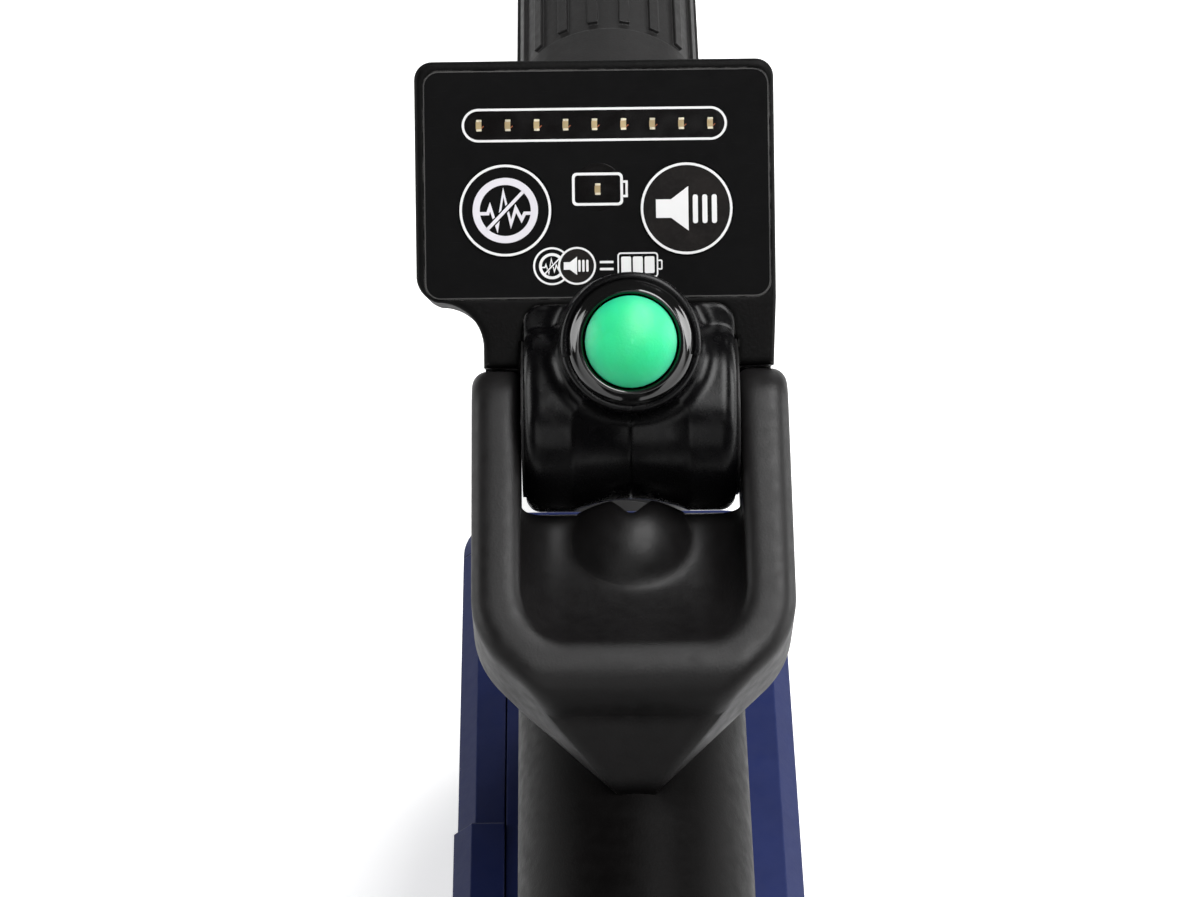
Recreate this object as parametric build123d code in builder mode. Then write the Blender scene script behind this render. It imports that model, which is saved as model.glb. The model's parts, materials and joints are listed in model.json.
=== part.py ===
"""A hand-held metal detector with a folding display pod, lying on its housing and search coil.

Frame: X to the right, Y forward along the shaft to the coil, Z up. The origin is the centre of the
housing's flat underside. Millimetres.
"""

import os
from math import atan, cos, degrees, radians, sin, sqrt

from build123d import *

# ------------------------------------------------------------------ driving dimensions
fit_gap = 0.3                    # between pieces that move on each other
seat_gap = 0.15                  # between pieces of one body that lie side by side
pin_fit = 0.05                   # radial, pin in its bore
cut_past = 1.0                   # a cut runs this far past the face it opens

# housing
housing_length = 270.0
housing_width = 65.0
housing_height = 86.0
housing_wall = 3.0
housing_floor = 3.5
housing_roof = 5.5
housing_corner = 12.0
housing_edge = 3.5
bottom_inset = 1.0               # the underside's rounding keeps this far inside the floor
split_height = 46.0
gasket_thickness = 0.8
panel_thickness = 2.5            # battery door and side cover
panel_bottom = 10.0
panel_lip = 9.0                  # how far the covers reach over the top
side_cover_length = 72.0
side_cover_setback = 13.0        # from the housing's front end
door_length = 118.0
door_proud = 0.7
cover_groove_length = 56.0
cover_groove_width = 2.0
cover_groove_rise = 16.0         # above the cover's lower edge
cover_groove_pitch = 6.0
groove_depth = 0.8
knuckle_radius = 2.4             # of the door's hinge
knuckle_inset = 1.5
knuckle_drop = 2.5               # below the door's lower edge
knuckle_length = 14.0
knuckle_spread = 36.0
door_pin_radius = 1.0
door_pin_setback = 6.0
fastener_drop = 11.0             # below the housing's top
fastener_radius = 2.0
fastener_head_radius = 6.0
fastener_head_height = 3.0
fastener_proud = 1.9             # of its head, outside the door
fastener_slot = 1.4
rib_count = 4                    # finger ribs on the door
rib_drop = 14.0                  # below the fastener
rib_pitch = 3.5
rib_length = 30.0
rib_width = 1.6
screw_radius = 1.5               # of the screws that close the housing
screw_head_radius = 3.0
screw_head_height = 2.2
screw_head_sink = 0.8
screw_reach = 12.0               # into the cover
boss_radius = 4.5
boss_side_setback = 9.5
boss_end_setback = 11.0
boss_panel_shift = 4.0           # of the left pair, clear of the covers

# batteries and electronics
cell_radius = 13.1
cell_length = 50.0
cell_rise = 28.0
cell_clearance = 1.0             # from the cells to the housing's wall and the panel's edge
contact_room = 3.0               # for the contacts at each end
terminal_radius = 4.5
terminal_length = 2.0
cell_gap = 0.4
tray_wall = 1.5
tray_back = 2.0
tray_end = 4.0
tray_window_length = 14.0
tray_window_height = 12.0
contact_side = 14.0
contact_thickness = 0.6
spring_radius = 6.0
spring_pitch = 0.9
speaker_radius = 18.0
speaker_setback = 43.0           # from the housing's rear end
speaker_z = 24.0
grille_thickness = 2.0
grille_margin = 1.0              # of the grille outside the speaker
grille_row_pitch = 4.2
grille_slot = 1.8
speaker_rim = 3.0
speaker_cone = 5.0
magnet_radius = 9.0
magnet_length = 6.0
jack_radius = 3.2
jack_depth = 26.0
jack_body_radius = 5.0
jack_flange = 2.0
jack_flange_radius = 7.0
jack_setback = 89.0              # from the housing's rear end
jack_z = 24.0
board_setback = 43.0             # from the housing's front end
board_jack_gap = 16.0            # from the board's rear end to the jack's axis
board_inset = 9.0                # from the housing's right wall
board_width = 56.0
board_thickness = 1.6

# handle
handle_rise = 58.0               # the grip's centre line above the housing
grip_radius = 19.5
frame_radius = 17.0
bend_radius = 26.0
grip_setback = 22.0              # from the handle's front corner
grip_end_gap = 1.0               # from the grip sleeve to the rear bend
grip_rounding = 1.2
groove_count = 4                 # finger grooves under the grip
groove_radius = 8.6
groove_drop = 7.2                # of their centres below the grip
groove_first = 24.0              # from the grip's front end
groove_last = 25.0               # from the grip's rear end
front_lean = 18.0                # how far the front post leans back
front_foot_setback = 65.0        # from the housing's front end
rear_foot_setback = 23.0         # from the housing's rear end
foot_width = 38.0
front_foot_length = 42.0
foot_thickness = 5.0
foot_corner = 8.0
foot_taper = 12
handle_screw_x = 9.0
handle_screw_shift = 2.0         # of the front pair, behind the middle of the foot
handle_screw_radius = 2.4
handle_screw_length = 23.5
handle_screw_head = 3.0

# hinge of the pod and thumb guard
hinge_setback = 2.5              # behind the handle's front corner
hinge_rise = 49.6                # above the grip's centre line
hinge_pin_radius = 2.5
hinge_pin_half = 23.0
washer_radius = 13.0             # beside the head's knuckle
guard_tilt = 21.0
arm_inner = 18.2
arm_outer = 26.2
arm_radius = 8.0
arm_straight = 37.0
crest_back = 45.0
channel_corner = 7.0
rim_outer = 2.6
rim_inner = 1.6
tip_back = 63.6
tip_drop = 9.5
guard_front = 10.0               # in front of the grip sleeve
guard_depth = 38.0
guard_taper = 13
tip_half = 2.5
shoulder_drop = 4.0              # from the arms' straight part to the shoulders
shoulder_round = 16.0
crest_run = 12.0                 # of the slope in front of the crest
crest_rise = 4.0
channel_depth = 4.6
channel_front = 12.0             # behind the hinge, where its floor starts to rise
channel_bend = 30.0
channel_bend_rise = 2.0
channel_end_rise = 3.5           # above the rim, at the crest
guard_screw_x = 7.0
guard_screw_shift = 5.0          # in front of the grip sleeve
guard_screw_radius = 2.0
guard_screw_head = 3.5
guard_screw_head_height = 2.4
guard_screw_rise = 26.0          # of its end above the grip's centre line
dome_radius = 9.6
dome_back = 20.4
dome_height = 5.0
dome_lift = 0.2                  # above the channel's floor
dome_root = 1.4                  # below the channel's floor
dome_gap = 0.6                   # from the dome to the knuckle
notch_back = 2.6                 # of its tip, in front of the dome's middle
notch_half = 6.6
notch_round = 1.4

# head and thumb button
barrel_radius = 15.5
barrel_half = 17.4
waist_half = 9.6
waist_depth = 2.0
knuckle_room = 0.7               # from the knuckle to the thumb guard
barrel_end = 2.5
head_top = 18.8
plate_top = 3.0
plate_thickness = 8.0
plate_corner = 3.0
collar_centre = 12.0
collar_base_radius = 12.3
collar_end_radius = 11.2
collar_height = 21.5
collar_flare = 3.0
bezel_radius = 10.2
bezel_height = 2.2
cap_radius = 7.35
cap_rise = 3.2
cap_skirt = 5.0
cap_sink = 1.4                   # of the crown's edge inside the bezel
bezel_sink = 3.0                 # of the bezel in the collar
bezel_rounding = 0.9
button_travel = 2.0
switch_radius = 7.0
switch_drop = 3.5
switch_leg = 3.0
switch_leg_x = 2.5
head_screw_x = 12.0
head_screw_drop = 3.0            # below the pod's lower edge
head_screw_radius = 1.2
head_screw_start = -16.0
head_screw_length = 14.0

# display pod
pod_tilt = 45.0
pod_left = -35.3
pod_right = 24.7
pod_bottom = 20.0
pod_top = 59.8
pod_depth = 24.0
pod_back_depth = 7.0
pod_corner = 3.0
pod_low_corner = 3.7             # beside the hollow
pod_low_middle = 1.1             # of that corner's arc, inside the corner
pod_face_round = 0.9
pod_back_round = 2.0
barrel_seat = 0.02               # radial, the knuckle in the pod
barrel_seat_end = 0.1
arm_clearance = 0.6              # from the pod to the thumb guard's arms
pod_wall = 2.0
neck_half = 24.2
neck_end = 8.6
skirt_end = 3.0                  # of the neck behind the thumb guard's arms
skirt_start = 10.0               # behind the pod's face
shoulder_radius = 7.6            # of the hollow beside the neck
shoulder_v = 12.0
label_margin = 1.6
label_margin_right = 1.0
label_margin_top = 1.8
label_margin_bottom = 0.2
label_corner = 2.5
label_proud = 0.1
label_thickness = 0.5
label_gap = 0.1                  # round the label in its recess
face_wall = 2.5                  # of the pod under the label
pod_room_shift = 0.6             # of the pod's inside towards its top
pod_gasket_thickness = 0.8
board_depth = 5.0
key_switch_side = 6.0
key_switch_height = 1.6
pod_chip_side = 14.0
pod_chip_height = 2.0
small_chip_length = 8.0
small_chip_width = 6.0
small_chip_drop = 4.0
pod_screw_inset = 4.5
pod_screw_lift = 2.0             # more for the lower pair
pod_screw_radius = 1.2
pod_screw_head_radius = 2.5
pod_screw_head_height = 1.8
pod_screw_head_sink = 0.4
pod_screw_reach = 7.0            # into the shell
pod_boss_radius = 2.6
pod_rib_pitch = 6.0
pod_rib_setback = 12.0           # from the pod's sides
pod_rib_height = 1.0
pod_rib_width = 1.6
key_radius = 7.6
key_travel = 0.4
key_stem_radius = 2.0
key_stem_length = 2.2
key_height = 34.8
noise_key_x = -20.3
volume_key_x = 9.9
lamp_count = 9
lamp_pitch = 4.82
lamp_row_x = -5.3
lamp_row_v = 49.0
lamp_length = 2.0
lamp_width = 1.25
window_length = 43.9
window_height = 5.3
battery_window_x = -4.9
battery_window_v = 38.2
battery_window_length = 8.4
battery_window_height = 5.0

# shaft
shaft_z = 42.0
upper_radius = 16.0
upper_bore = 12.8
upper_length = 237.0             # in front of the housing
socket_radius = 21.0
socket_length = 24.0
socket_plate = 5.0
socket_step = 2.0                # of the socket's round end inside its plate
socket_screw_radius = 2.4
socket_screw_room = 2.6
tube_inset = 6.0                 # of the upper tube inside the housing
lock_radius = 24.0
lock_overlap = 76.0              # of the collar over the upper tube
lock_length = 84.0
lock_nose = 14.0
lock_band = 22.0                 # of its thicker rear part
lock_lip = 4.0
lock_step = 1.6
lock_rib_count = 18
lock_rib_width = 2.4
lock_rib_height = 2.6
lower_radius = 12.5
lower_wall = 2.0
lower_length = 511.0
lower_overlap = 102.0            # of the lower tube inside the upper one
yoke_reach = 34.0                # from the lower tube to the pivot
yoke_plug = 34.0                 # inside the lower tube
yoke_neck = 12.0
yoke_round = 2.5
bush_wall = 2.0
bush_length = 8.0
bush_plug = 12.0

# search coil
coil_radius = 115.0
coil_ring_width = 27.0
coil_height = 22.0
coil_base_height = 10.0
coil_bar_width = 36.0
coil_top_round = 5.0
coil_bottom_round = 3.0
coil_wall = 2.5
winding_gap = 1.0                # from the windings to the coil's wall
winding_height = 5.0
transmit_width = 7.0
receive_width = 6.0
gland_setback = 34.0             # behind the ears
gland_radius = 4.0
gland_depth = 6.0
gland_nut = 5.2
gland_nut_height = 3.0
gland_bore = 2.4
gland_bore_depth = 5.0
ear_gap_half = 8.0
ear_thickness = 6.0
ear_radius = 10.0
ear_flare = 9.0                  # of the ears' foot on each side
ear_sink = 1.0                   # of the ears' foot in the coil's top
pivot_radius = 4.0
bolt_head = 7.5
bolt_head_height = 5.0
bolt_reach = 8.0                 # of the bolt into the knob
knob_radius = 13.0
knob_length = 11.0
knob_bore = 9.0
knob_scallops = 8
scallop_radius = 3.2
scallop_out = 1.6                # of the scallops' centres outside the knob

# rear tube and arm cuff
rear_rise = 15.0
rear_radius = 12.5
rear_wall = 2.0
rear_start_z = 46.0
rear_length = 262.0
rear_tube_start = 4.0
rear_socket_length = 30.0
rear_socket_wall = 4.0
rear_socket_plate = 5.0
rear_cap_length = 5.0
rear_cap_round = 2.0
rear_cap_plug = 12.0
cuff_radius = 50.0
cuff_wall = 3.0
cuff_length = 92.0
cuff_open_angle = 130.0
pad_thickness = 5.0
pad_inset = 4.0                  # of the pad and bracket inside the cuff's ends
cuff_setback = 6.0               # from the rear tube's end
bracket_height = 16.0
bracket_sink = 6.0               # of the cuff in its bracket
bracket_width = 26.0
bracket_over = 3.0               # of the bracket's web above its height
cuff_screw_setback = 16.0
cuff_screw_radius = 2.0
cuff_screw_length = 9.0
cuff_screw_head = 3.8
cuff_screw_head_height = 2.2
cuff_screw_sink = 2.4            # of the screw heads' seat below the cuff's inner face

# ------------------------------------------------------------------ places that follow from the sizes
half_width = housing_width / 2
half_length = housing_length / 2
side_cover_rear = half_length - side_cover_setback - side_cover_length
speaker_y = speaker_setback - half_length
jack_y = jack_setback - half_length
grip_height = housing_height + handle_rise
front_foot_y = half_length - front_foot_setback
rear_foot_y = rear_foot_setback - half_length
front_corner_y = front_foot_y - front_lean
grip_front = front_corner_y - grip_setback
grip_length = grip_front - rear_foot_y - bend_radius - grip_end_gap
board_length = half_length - board_setback - jack_y - board_jack_gap
guard_front_y = grip_front + guard_front
hinge_y = front_corner_y - hinge_setback
hinge_z = grip_height + hinge_rise
upper_end = half_length + upper_length
lock_start = upper_end - lock_overlap
lower_start = upper_end - lower_overlap
lower_end = lower_start + lower_length
pivot_y = lower_end + yoke_reach


# ------------------------------------------------------------------ planes and small helpers
def section_at(y):
    """Upright plane across the shaft: local x is X, local y is Z, facing backward."""
    return Plane(origin=(0, y, 0), x_dir=(1, 0, 0), z_dir=(0, -1, 0))


def side_at(x):
    """Upright plane along the shaft: local x is Y, local y is Z, facing right."""
    return Plane(origin=(x, 0, 0), x_dir=(0, 1, 0), z_dir=(1, 0, 0))


def tilted(angle):
    """Plane through the hinge axis, raised by angle from the horizontal: local y points up along it."""
    lean = radians(angle)
    return Plane(origin=(0, hinge_y, hinge_z), x_dir=(1, 0, 0), z_dir=(0, -sin(lean), cos(lean)))


def tilted_side(angle, x):
    """Side view of the tilted plane at x: local x runs up along it, local y is its normal."""
    lean = radians(angle)
    return Plane(origin=(x, hinge_y, hinge_z), x_dir=(0, cos(lean), sin(lean)), z_dir=(1, 0, 0))


pod_plane = tilted(pod_tilt)
guard_plane = tilted(guard_tilt)
hinge_axis = Axis((0, hinge_y, hinge_z), (1, 0, 0))


def lying_on(edges, plane, height):
    """The edges whose ends all lie in the plane at the given height above it."""
    found = []
    for edge in edges:
        heights = [plane.to_local_coords(vertex.center()).Z for vertex in edge.vertices()]
        if heights and max(abs(value - height) for value in heights) < 0.01:
            found.append(edge)
    return found


def write(piece, label):
    piece.part.label = label
    export_step(piece.part, f"parts/{label}.step")


os.makedirs("parts", exist_ok=True)

# ------------------------------------------------------------------ housing
lip_x = -half_width + panel_lip
door_front = side_cover_rear - fit_gap
door_rear = door_front - door_length
door_middle = (door_front + door_rear) / 2
recess_depth = panel_thickness + seat_gap
cavity_left = -half_width + recess_depth + housing_wall
cavity_right = half_width - housing_wall
cavity_width = cavity_right - cavity_left
cavity_x = (cavity_left + cavity_right) / 2
cavity_top = housing_height - housing_roof
tray_y = door_middle
battery_length = 2 * (cell_length + contact_room)
cell_x = cavity_left + cell_radius + cell_clearance
cell_low_z = panel_bottom + cell_radius + cell_clearance
bay_bottom = panel_bottom + 2.0
bay_top = cell_low_z + cell_rise + cell_radius + tray_wall
cover_base = split_height + gasket_thickness / 2
base_top = split_height - gasket_thickness / 2
knuckle_x = -half_width + knuckle_inset
knuckle_z = panel_bottom - knuckle_drop
fastener_z = housing_height - fastener_drop
boss_x = half_width - boss_side_setback
boss_y = half_length - boss_end_setback
screw_spots = [(x, y) for x in (boss_panel_shift - boss_x, boss_x) for y in (-boss_y, boss_y)]


def cover_outline(proud, thickness, bottom):
    """Cross-section of a panel that covers the left side and laps over the top edge."""
    outer = -half_width - proud
    top = housing_height + proud
    Polyline(
        (outer, bottom),
        (outer, top - housing_edge),
        (outer + housing_edge, top),
        (lip_x, top),
        (lip_x, top - thickness - proud),
        (outer + thickness + proud, top - thickness - proud),
        (outer + thickness + proud, bottom),
        close=True,
    )


with BuildPart() as housing_block:
    with BuildSketch(Plane.XY):
        RectangleRounded(housing_width, housing_length, housing_corner)
    extrude(amount=housing_height)
    chamfer(housing_block.faces().sort_by(Axis.Z)[-1].edges(), housing_edge)
    fillet(housing_block.faces().sort_by(Axis.Z)[0].edges(), housing_floor - bottom_inset)

with BuildPart() as housing_inside:
    with BuildSketch(Plane.XY.offset(housing_floor)):
        with Locations((cavity_x, 0)):
            RectangleRounded(
                cavity_width,
                housing_length - 2 * housing_wall,
                housing_corner - housing_wall,
            )
    extrude(amount=cavity_top - housing_floor)
    with BuildSketch(Plane.XY):
        with Locations(*screw_spots):
            Circle(boss_radius)
    extrude(amount=housing_height, mode=Mode.SUBTRACT)

with BuildPart() as panel_recess:
    recess_front = side_cover_rear + side_cover_length + seat_gap
    recess_rear = door_rear - fit_gap
    with BuildSketch(section_at(recess_front)):
        with BuildLine():
            Polyline(
                (-half_width - cut_past, panel_bottom),
                (-half_width - cut_past, housing_height + cut_past),
                (lip_x + fit_gap, housing_height + cut_past),
                (lip_x + fit_gap, housing_height - recess_depth),
                (-half_width + recess_depth, housing_height - recess_depth),
                (-half_width + recess_depth, panel_bottom),
                close=True,
            )
        make_face()
    extrude(amount=recess_front - recess_rear)

with BuildPart() as battery_opening:
    with BuildSketch(side_at(-half_width)):
        with Locations((tray_y, (bay_bottom + bay_top) / 2)):
            RectangleRounded(battery_length + 2.0, bay_top - bay_bottom, 3.0)
    extrude(amount=recess_depth + housing_wall + cut_past)
    with BuildSketch(side_at(-half_width)):
        with Locations((tray_y, fastener_z)):
            Circle(fastener_radius + 0.6)
    extrude(amount=recess_depth + housing_wall - 0.5)

with BuildPart() as knuckle_slots:
    for side in (-1, 1):
        slot_y = door_middle + side * knuckle_spread
        slot_end = slot_y + knuckle_length / 2 + fit_gap
        with BuildSketch(section_at(slot_end)):
            with Locations((knuckle_x, knuckle_z)):
                Circle(knuckle_radius + 0.4)
            with Locations((-half_width - 1.0, panel_bottom + 1.0)):
                Rectangle(
                    2.5 + knuckle_radius, knuckle_radius + 4.9, align=(Align.MIN, Align.MAX)
                )
        extrude(amount=knuckle_length + 2 * fit_gap)

with BuildPart() as housing_base:
    add(housing_block.part)
    add(housing_inside.part, mode=Mode.SUBTRACT)
    split(bisect_by=Plane.XY.offset(base_top), keep=Keep.BOTTOM)
    add(panel_recess.part, mode=Mode.SUBTRACT)
    add(battery_opening.part, mode=Mode.SUBTRACT)
    add(knuckle_slots.part, mode=Mode.SUBTRACT)
    with BuildSketch(Plane.XY):
        with Locations(*screw_spots):
            Circle(screw_radius + 0.2)
    extrude(amount=base_top, mode=Mode.SUBTRACT)
    with BuildSketch(Plane.XY):
        with Locations(*screw_spots):
            Circle(screw_head_radius + 0.2)
    extrude(amount=screw_head_sink + screw_head_height, mode=Mode.SUBTRACT)
    with BuildSketch(section_at(door_front)):
        with Locations((knuckle_x, knuckle_z)):
            Circle(door_pin_radius + pin_fit)
    extrude(amount=door_length, mode=Mode.SUBTRACT)
    # the shaft and rear tube enter the ends, and the speaker and headphone socket their walls
    with BuildSketch(section_at(half_length + cut_past)):
        with Locations((0, shaft_z)):
            Circle(upper_radius + seat_gap)
    extrude(amount=housing_wall + 2 * cut_past, mode=Mode.SUBTRACT)
    with BuildSketch(side_at(half_width + cut_past)):
        with Locations((jack_y, jack_z)):
            Circle(jack_body_radius + seat_gap)
    extrude(amount=-housing_wall - 2 * cut_past, mode=Mode.SUBTRACT)
    with BuildSketch(side_at(half_width + cut_past)):
        with Locations((speaker_y, speaker_z)):
            Circle(speaker_radius + grille_margin + seat_gap)
    extrude(amount=-grille_thickness - cut_past, mode=Mode.SUBTRACT)
    with BuildSketch(side_at(half_width + cut_past)):
        with Locations((speaker_y, speaker_z)):
            Circle(speaker_radius - 1.0)
    extrude(amount=-housing_wall - 2 * cut_past, mode=Mode.SUBTRACT)
write(housing_base, "housing_base")

handle_screw_spots = [
    (x, y)
    for x in (-handle_screw_x, handle_screw_x)
    for y in (front_foot_y - handle_screw_shift, rear_foot_y)
]

with BuildPart() as housing_cover:
    add(housing_block.part)
    add(housing_inside.part, mode=Mode.SUBTRACT)
    split(bisect_by=Plane.XY.offset(cover_base), keep=Keep.TOP)
    add(panel_recess.part, mode=Mode.SUBTRACT)
    add(battery_opening.part, mode=Mode.SUBTRACT)
    with BuildSketch(section_at(half_length + cut_past)):
        with Locations((0, shaft_z)):
            Circle(upper_radius + seat_gap)
    extrude(amount=housing_wall + 2 * cut_past, mode=Mode.SUBTRACT)
    with BuildSketch(Plane.XY.offset(cover_base)):
        with Locations(*screw_spots):
            Circle(screw_radius)
    extrude(amount=20.0, mode=Mode.SUBTRACT)
    with BuildSketch(Plane.XY.offset(cavity_top)):
        with Locations(*handle_screw_spots):
            Circle(handle_screw_radius + seat_gap)
    extrude(amount=housing_roof + cut_past, mode=Mode.SUBTRACT)
write(housing_cover, "housing_cover")

with BuildPart() as housing_gasket:
    with BuildSketch(Plane.XY.offset(base_top)):
        RectangleRounded(housing_width - 1.2, housing_length - 1.2, housing_corner - 0.6)
        with Locations((cavity_x, 0)):
            RectangleRounded(
                cavity_width - 0.2,
                housing_length - 2 * housing_wall - 0.2,
                housing_corner - housing_wall - 0.1,
                mode=Mode.SUBTRACT,
            )
    extrude(amount=gasket_thickness)
    add(panel_recess.part, mode=Mode.SUBTRACT)
    add(battery_opening.part, mode=Mode.SUBTRACT)
    with BuildSketch(section_at(half_length + cut_past)):
        with Locations((0, shaft_z)):
            Circle(upper_radius + seat_gap)
    extrude(amount=housing_wall + 2 * cut_past, mode=Mode.SUBTRACT)
write(housing_gasket, "housing_gasket")

with BuildPart() as housing_screws:
    with BuildSketch(Plane.XY.offset(screw_head_sink)):
        with Locations(*screw_spots):
            Circle(screw_head_radius)
    extrude(amount=screw_head_height)
    with BuildSketch(Plane.XY.offset(screw_head_sink + screw_head_height)):
        with Locations(*screw_spots):
            Circle(screw_radius)
    extrude(amount=cover_base + screw_reach)
    with BuildSketch(Plane.XY.offset(screw_head_sink)):
        with Locations(*screw_spots):
            RegularPolygon(screw_head_radius / 2, 6)
    extrude(amount=1.4, mode=Mode.SUBTRACT)
write(housing_screws, "housing_screws")

with BuildPart() as side_cover:
    with BuildSketch(section_at(side_cover_rear + side_cover_length)):
        with BuildLine():
            cover_outline(0.0, panel_thickness, panel_bottom + seat_gap)
        make_face()
    extrude(amount=side_cover_length)
    # two shallow grooves along the side
    for groove in range(2):
        groove_z = panel_bottom + cover_groove_rise + cover_groove_pitch * groove
        with BuildSketch(side_at(-half_width)):
            with Locations((side_cover_rear + side_cover_length / 2, groove_z)):
                SlotOverall(cover_groove_length, cover_groove_width)
        extrude(amount=groove_depth, mode=Mode.SUBTRACT)
write(side_cover, "side_cover")

with BuildPart() as battery_door:
    with BuildSketch(section_at(door_front)):
        with BuildLine():
            cover_outline(door_proud, panel_thickness - 0.1, panel_bottom + 0.7)
        make_face()
    extrude(amount=door_length)
    for side in (-1, 1):
        knuckle_end = door_middle + side * knuckle_spread + knuckle_length / 2
        with BuildSketch(section_at(knuckle_end)):
            with Locations((knuckle_x, knuckle_z)):
                Circle(knuckle_radius)
            with Locations((-half_width - door_proud, knuckle_z)):
                Rectangle(
                    panel_thickness + door_proud - 0.1,
                    panel_bottom + 2.0 - knuckle_z,
                    align=(Align.MIN, Align.MIN),
                )
        extrude(amount=knuckle_length)
    with BuildSketch(section_at(door_front)):
        with Locations((knuckle_x, knuckle_z)):
            Circle(door_pin_radius + pin_fit)
    extrude(amount=door_length, mode=Mode.SUBTRACT)
    # seat and hole of the quarter-turn fastener
    with BuildSketch(side_at(-half_width - door_proud - cut_past)):
        with Locations((tray_y, fastener_z)):
            Circle(fastener_head_radius + fit_gap)
    extrude(amount=cut_past + 1.2, mode=Mode.SUBTRACT)
    with BuildSketch(side_at(-half_width - door_proud)):
        with Locations((tray_y, fastener_z)):
            Circle(fastener_radius + fit_gap)
    extrude(amount=recess_depth + cut_past, mode=Mode.SUBTRACT)
    # finger ribs below the fastener
    for rib in range(rib_count):
        with BuildSketch(side_at(-half_width - door_proud)):
            with Locations((tray_y, fastener_z - rib_drop - rib_pitch * rib)):
                SlotOverall(rib_length, rib_width)
        extrude(amount=groove_depth, mode=Mode.SUBTRACT)
write(battery_door, "battery_door")

with BuildPart() as door_pin:
    with BuildSketch(section_at(door_front - door_pin_setback)):
        with Locations((knuckle_x, knuckle_z)):
            Circle(door_pin_radius)
    extrude(amount=door_length - 2 * door_pin_setback)
write(door_pin, "door_pin")

with BuildPart() as door_fastener:
    head_seat = -half_width - door_proud - fastener_proud + fastener_head_height
    with BuildSketch(side_at(head_seat)):
        with Locations((tray_y, fastener_z)):
            Circle(fastener_head_radius)
    extrude(amount=-fastener_head_height)
    chamfer(door_fastener.faces().sort_by(Axis.X)[0].edges(), 0.6)
    with BuildSketch(side_at(head_seat)):
        with Locations((tray_y, fastener_z)):
            Circle(fastener_radius)
    extrude(amount=recess_depth + fastener_proud)
    with BuildSketch(side_at(-half_width - door_proud - fastener_proud)):
        with Locations((tray_y, fastener_z)):
            SlotOverall(1.5 * fastener_head_radius, 1.6)
    extrude(amount=fastener_slot, mode=Mode.SUBTRACT)
write(door_fastener, "door_fastener")

# ------------------------------------------------------------------ inside the housing
tray_right = cell_x + cell_radius + tray_back
cell_spots = [(cell_x, cell_low_z), (cell_x, cell_low_z + cell_rise)]
tray_low = cell_low_z - cell_radius - tray_wall
tray_high = cell_low_z + cell_rise + cell_radius + tray_wall
tray_front = tray_y + battery_length / 2

with BuildPart() as battery_tray:
    with BuildSketch(section_at(tray_front + tray_end)):
        with Locations(((cell_x + tray_right) / 2, (tray_low + tray_high) / 2)):
            Rectangle(tray_right - cell_x, tray_high - tray_low)
    extrude(amount=battery_length + 2 * tray_end)
    with BuildSketch(section_at(tray_front)):
        with Locations(*cell_spots):
            Circle(cell_radius + fit_gap)
    extrude(amount=battery_length, mode=Mode.SUBTRACT)
    with BuildSketch(side_at(tray_right)):
        with Locations((tray_y, cell_low_z + cell_rise / 2)):
            with GridLocations(battery_length / 4, cell_rise, 4, 2):
                RectangleRounded(tray_window_length, tray_window_height, 2.0)
    extrude(amount=-2.5, mode=Mode.SUBTRACT)
write(battery_tray, "battery_tray")

with BuildPart() as battery_cells:
    for first in (tray_front - contact_room, tray_front - contact_room - cell_length - cell_gap):
        with BuildSketch(section_at(first - terminal_length)):
            with Locations(*cell_spots):
                Circle(cell_radius)
        extrude(amount=cell_length - terminal_length - cell_gap)
        with BuildSketch(section_at(first)):
            with Locations(*cell_spots):
                Circle(terminal_radius)
        extrude(amount=terminal_length)
write(battery_cells, "battery_cells")

with BuildPart() as battery_contacts:
    with BuildSketch(section_at(tray_front)):
        with Locations(*cell_spots):
            RectangleRounded(contact_side, contact_side, 2.0)
    extrude(amount=contact_thickness)
    with BuildSketch(section_at(tray_front - battery_length + contact_thickness)):
        with Locations(*cell_spots):
            RectangleRounded(contact_side, contact_side, 2.0)
    extrude(amount=contact_thickness)
    for turn in range(2):
        turn_y = tray_front - battery_length + 2 * contact_thickness + turn * spring_pitch
        with BuildSketch(section_at(turn_y)):
            with Locations(*cell_spots):
                Circle(spring_radius - 2.0 * turn)
        extrude(amount=contact_thickness + 0.3 * turn)
write(battery_contacts, "battery_contacts")

board_x = cavity_right - board_inset
board_y = half_length - board_setback - board_length / 2
board_z = housing_height / 2
chip_height = 2.5
capacitor_radius = 4.0
capacitor_height = 8.0

with BuildPart() as main_board:
    with BuildSketch(side_at(board_x)):
        with Locations((board_y, board_z)):
            RectangleRounded(board_length, board_width, 2.0)
    extrude(amount=board_thickness)
    # chips and capacitors on its inner face
    with BuildSketch(side_at(board_x)):
        with Locations((board_y - board_length * 0.09, board_z + board_width * 0.16)):
            Rectangle(0.13 * board_length, 0.13 * board_length)
        with Locations((board_y + board_length * 0.22, board_z - board_width * 0.09)):
            Rectangle(0.18 * board_length, 0.1 * board_length)
        with Locations((board_y - board_length * 0.37, board_z - board_width * 0.12)):
            Rectangle(0.1 * board_length, 0.16 * board_length)
    extrude(amount=-chip_height)
    with BuildSketch(side_at(board_x)):
        for share in (-0.37, 0.29, 0.37):
            with Locations((board_y + share * board_length, board_z + 0.27 * board_width)):
                Circle(capacitor_radius)
    extrude(amount=-capacitor_height)
write(main_board, "main_board")

speaker_seat = half_width - grille_thickness

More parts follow.
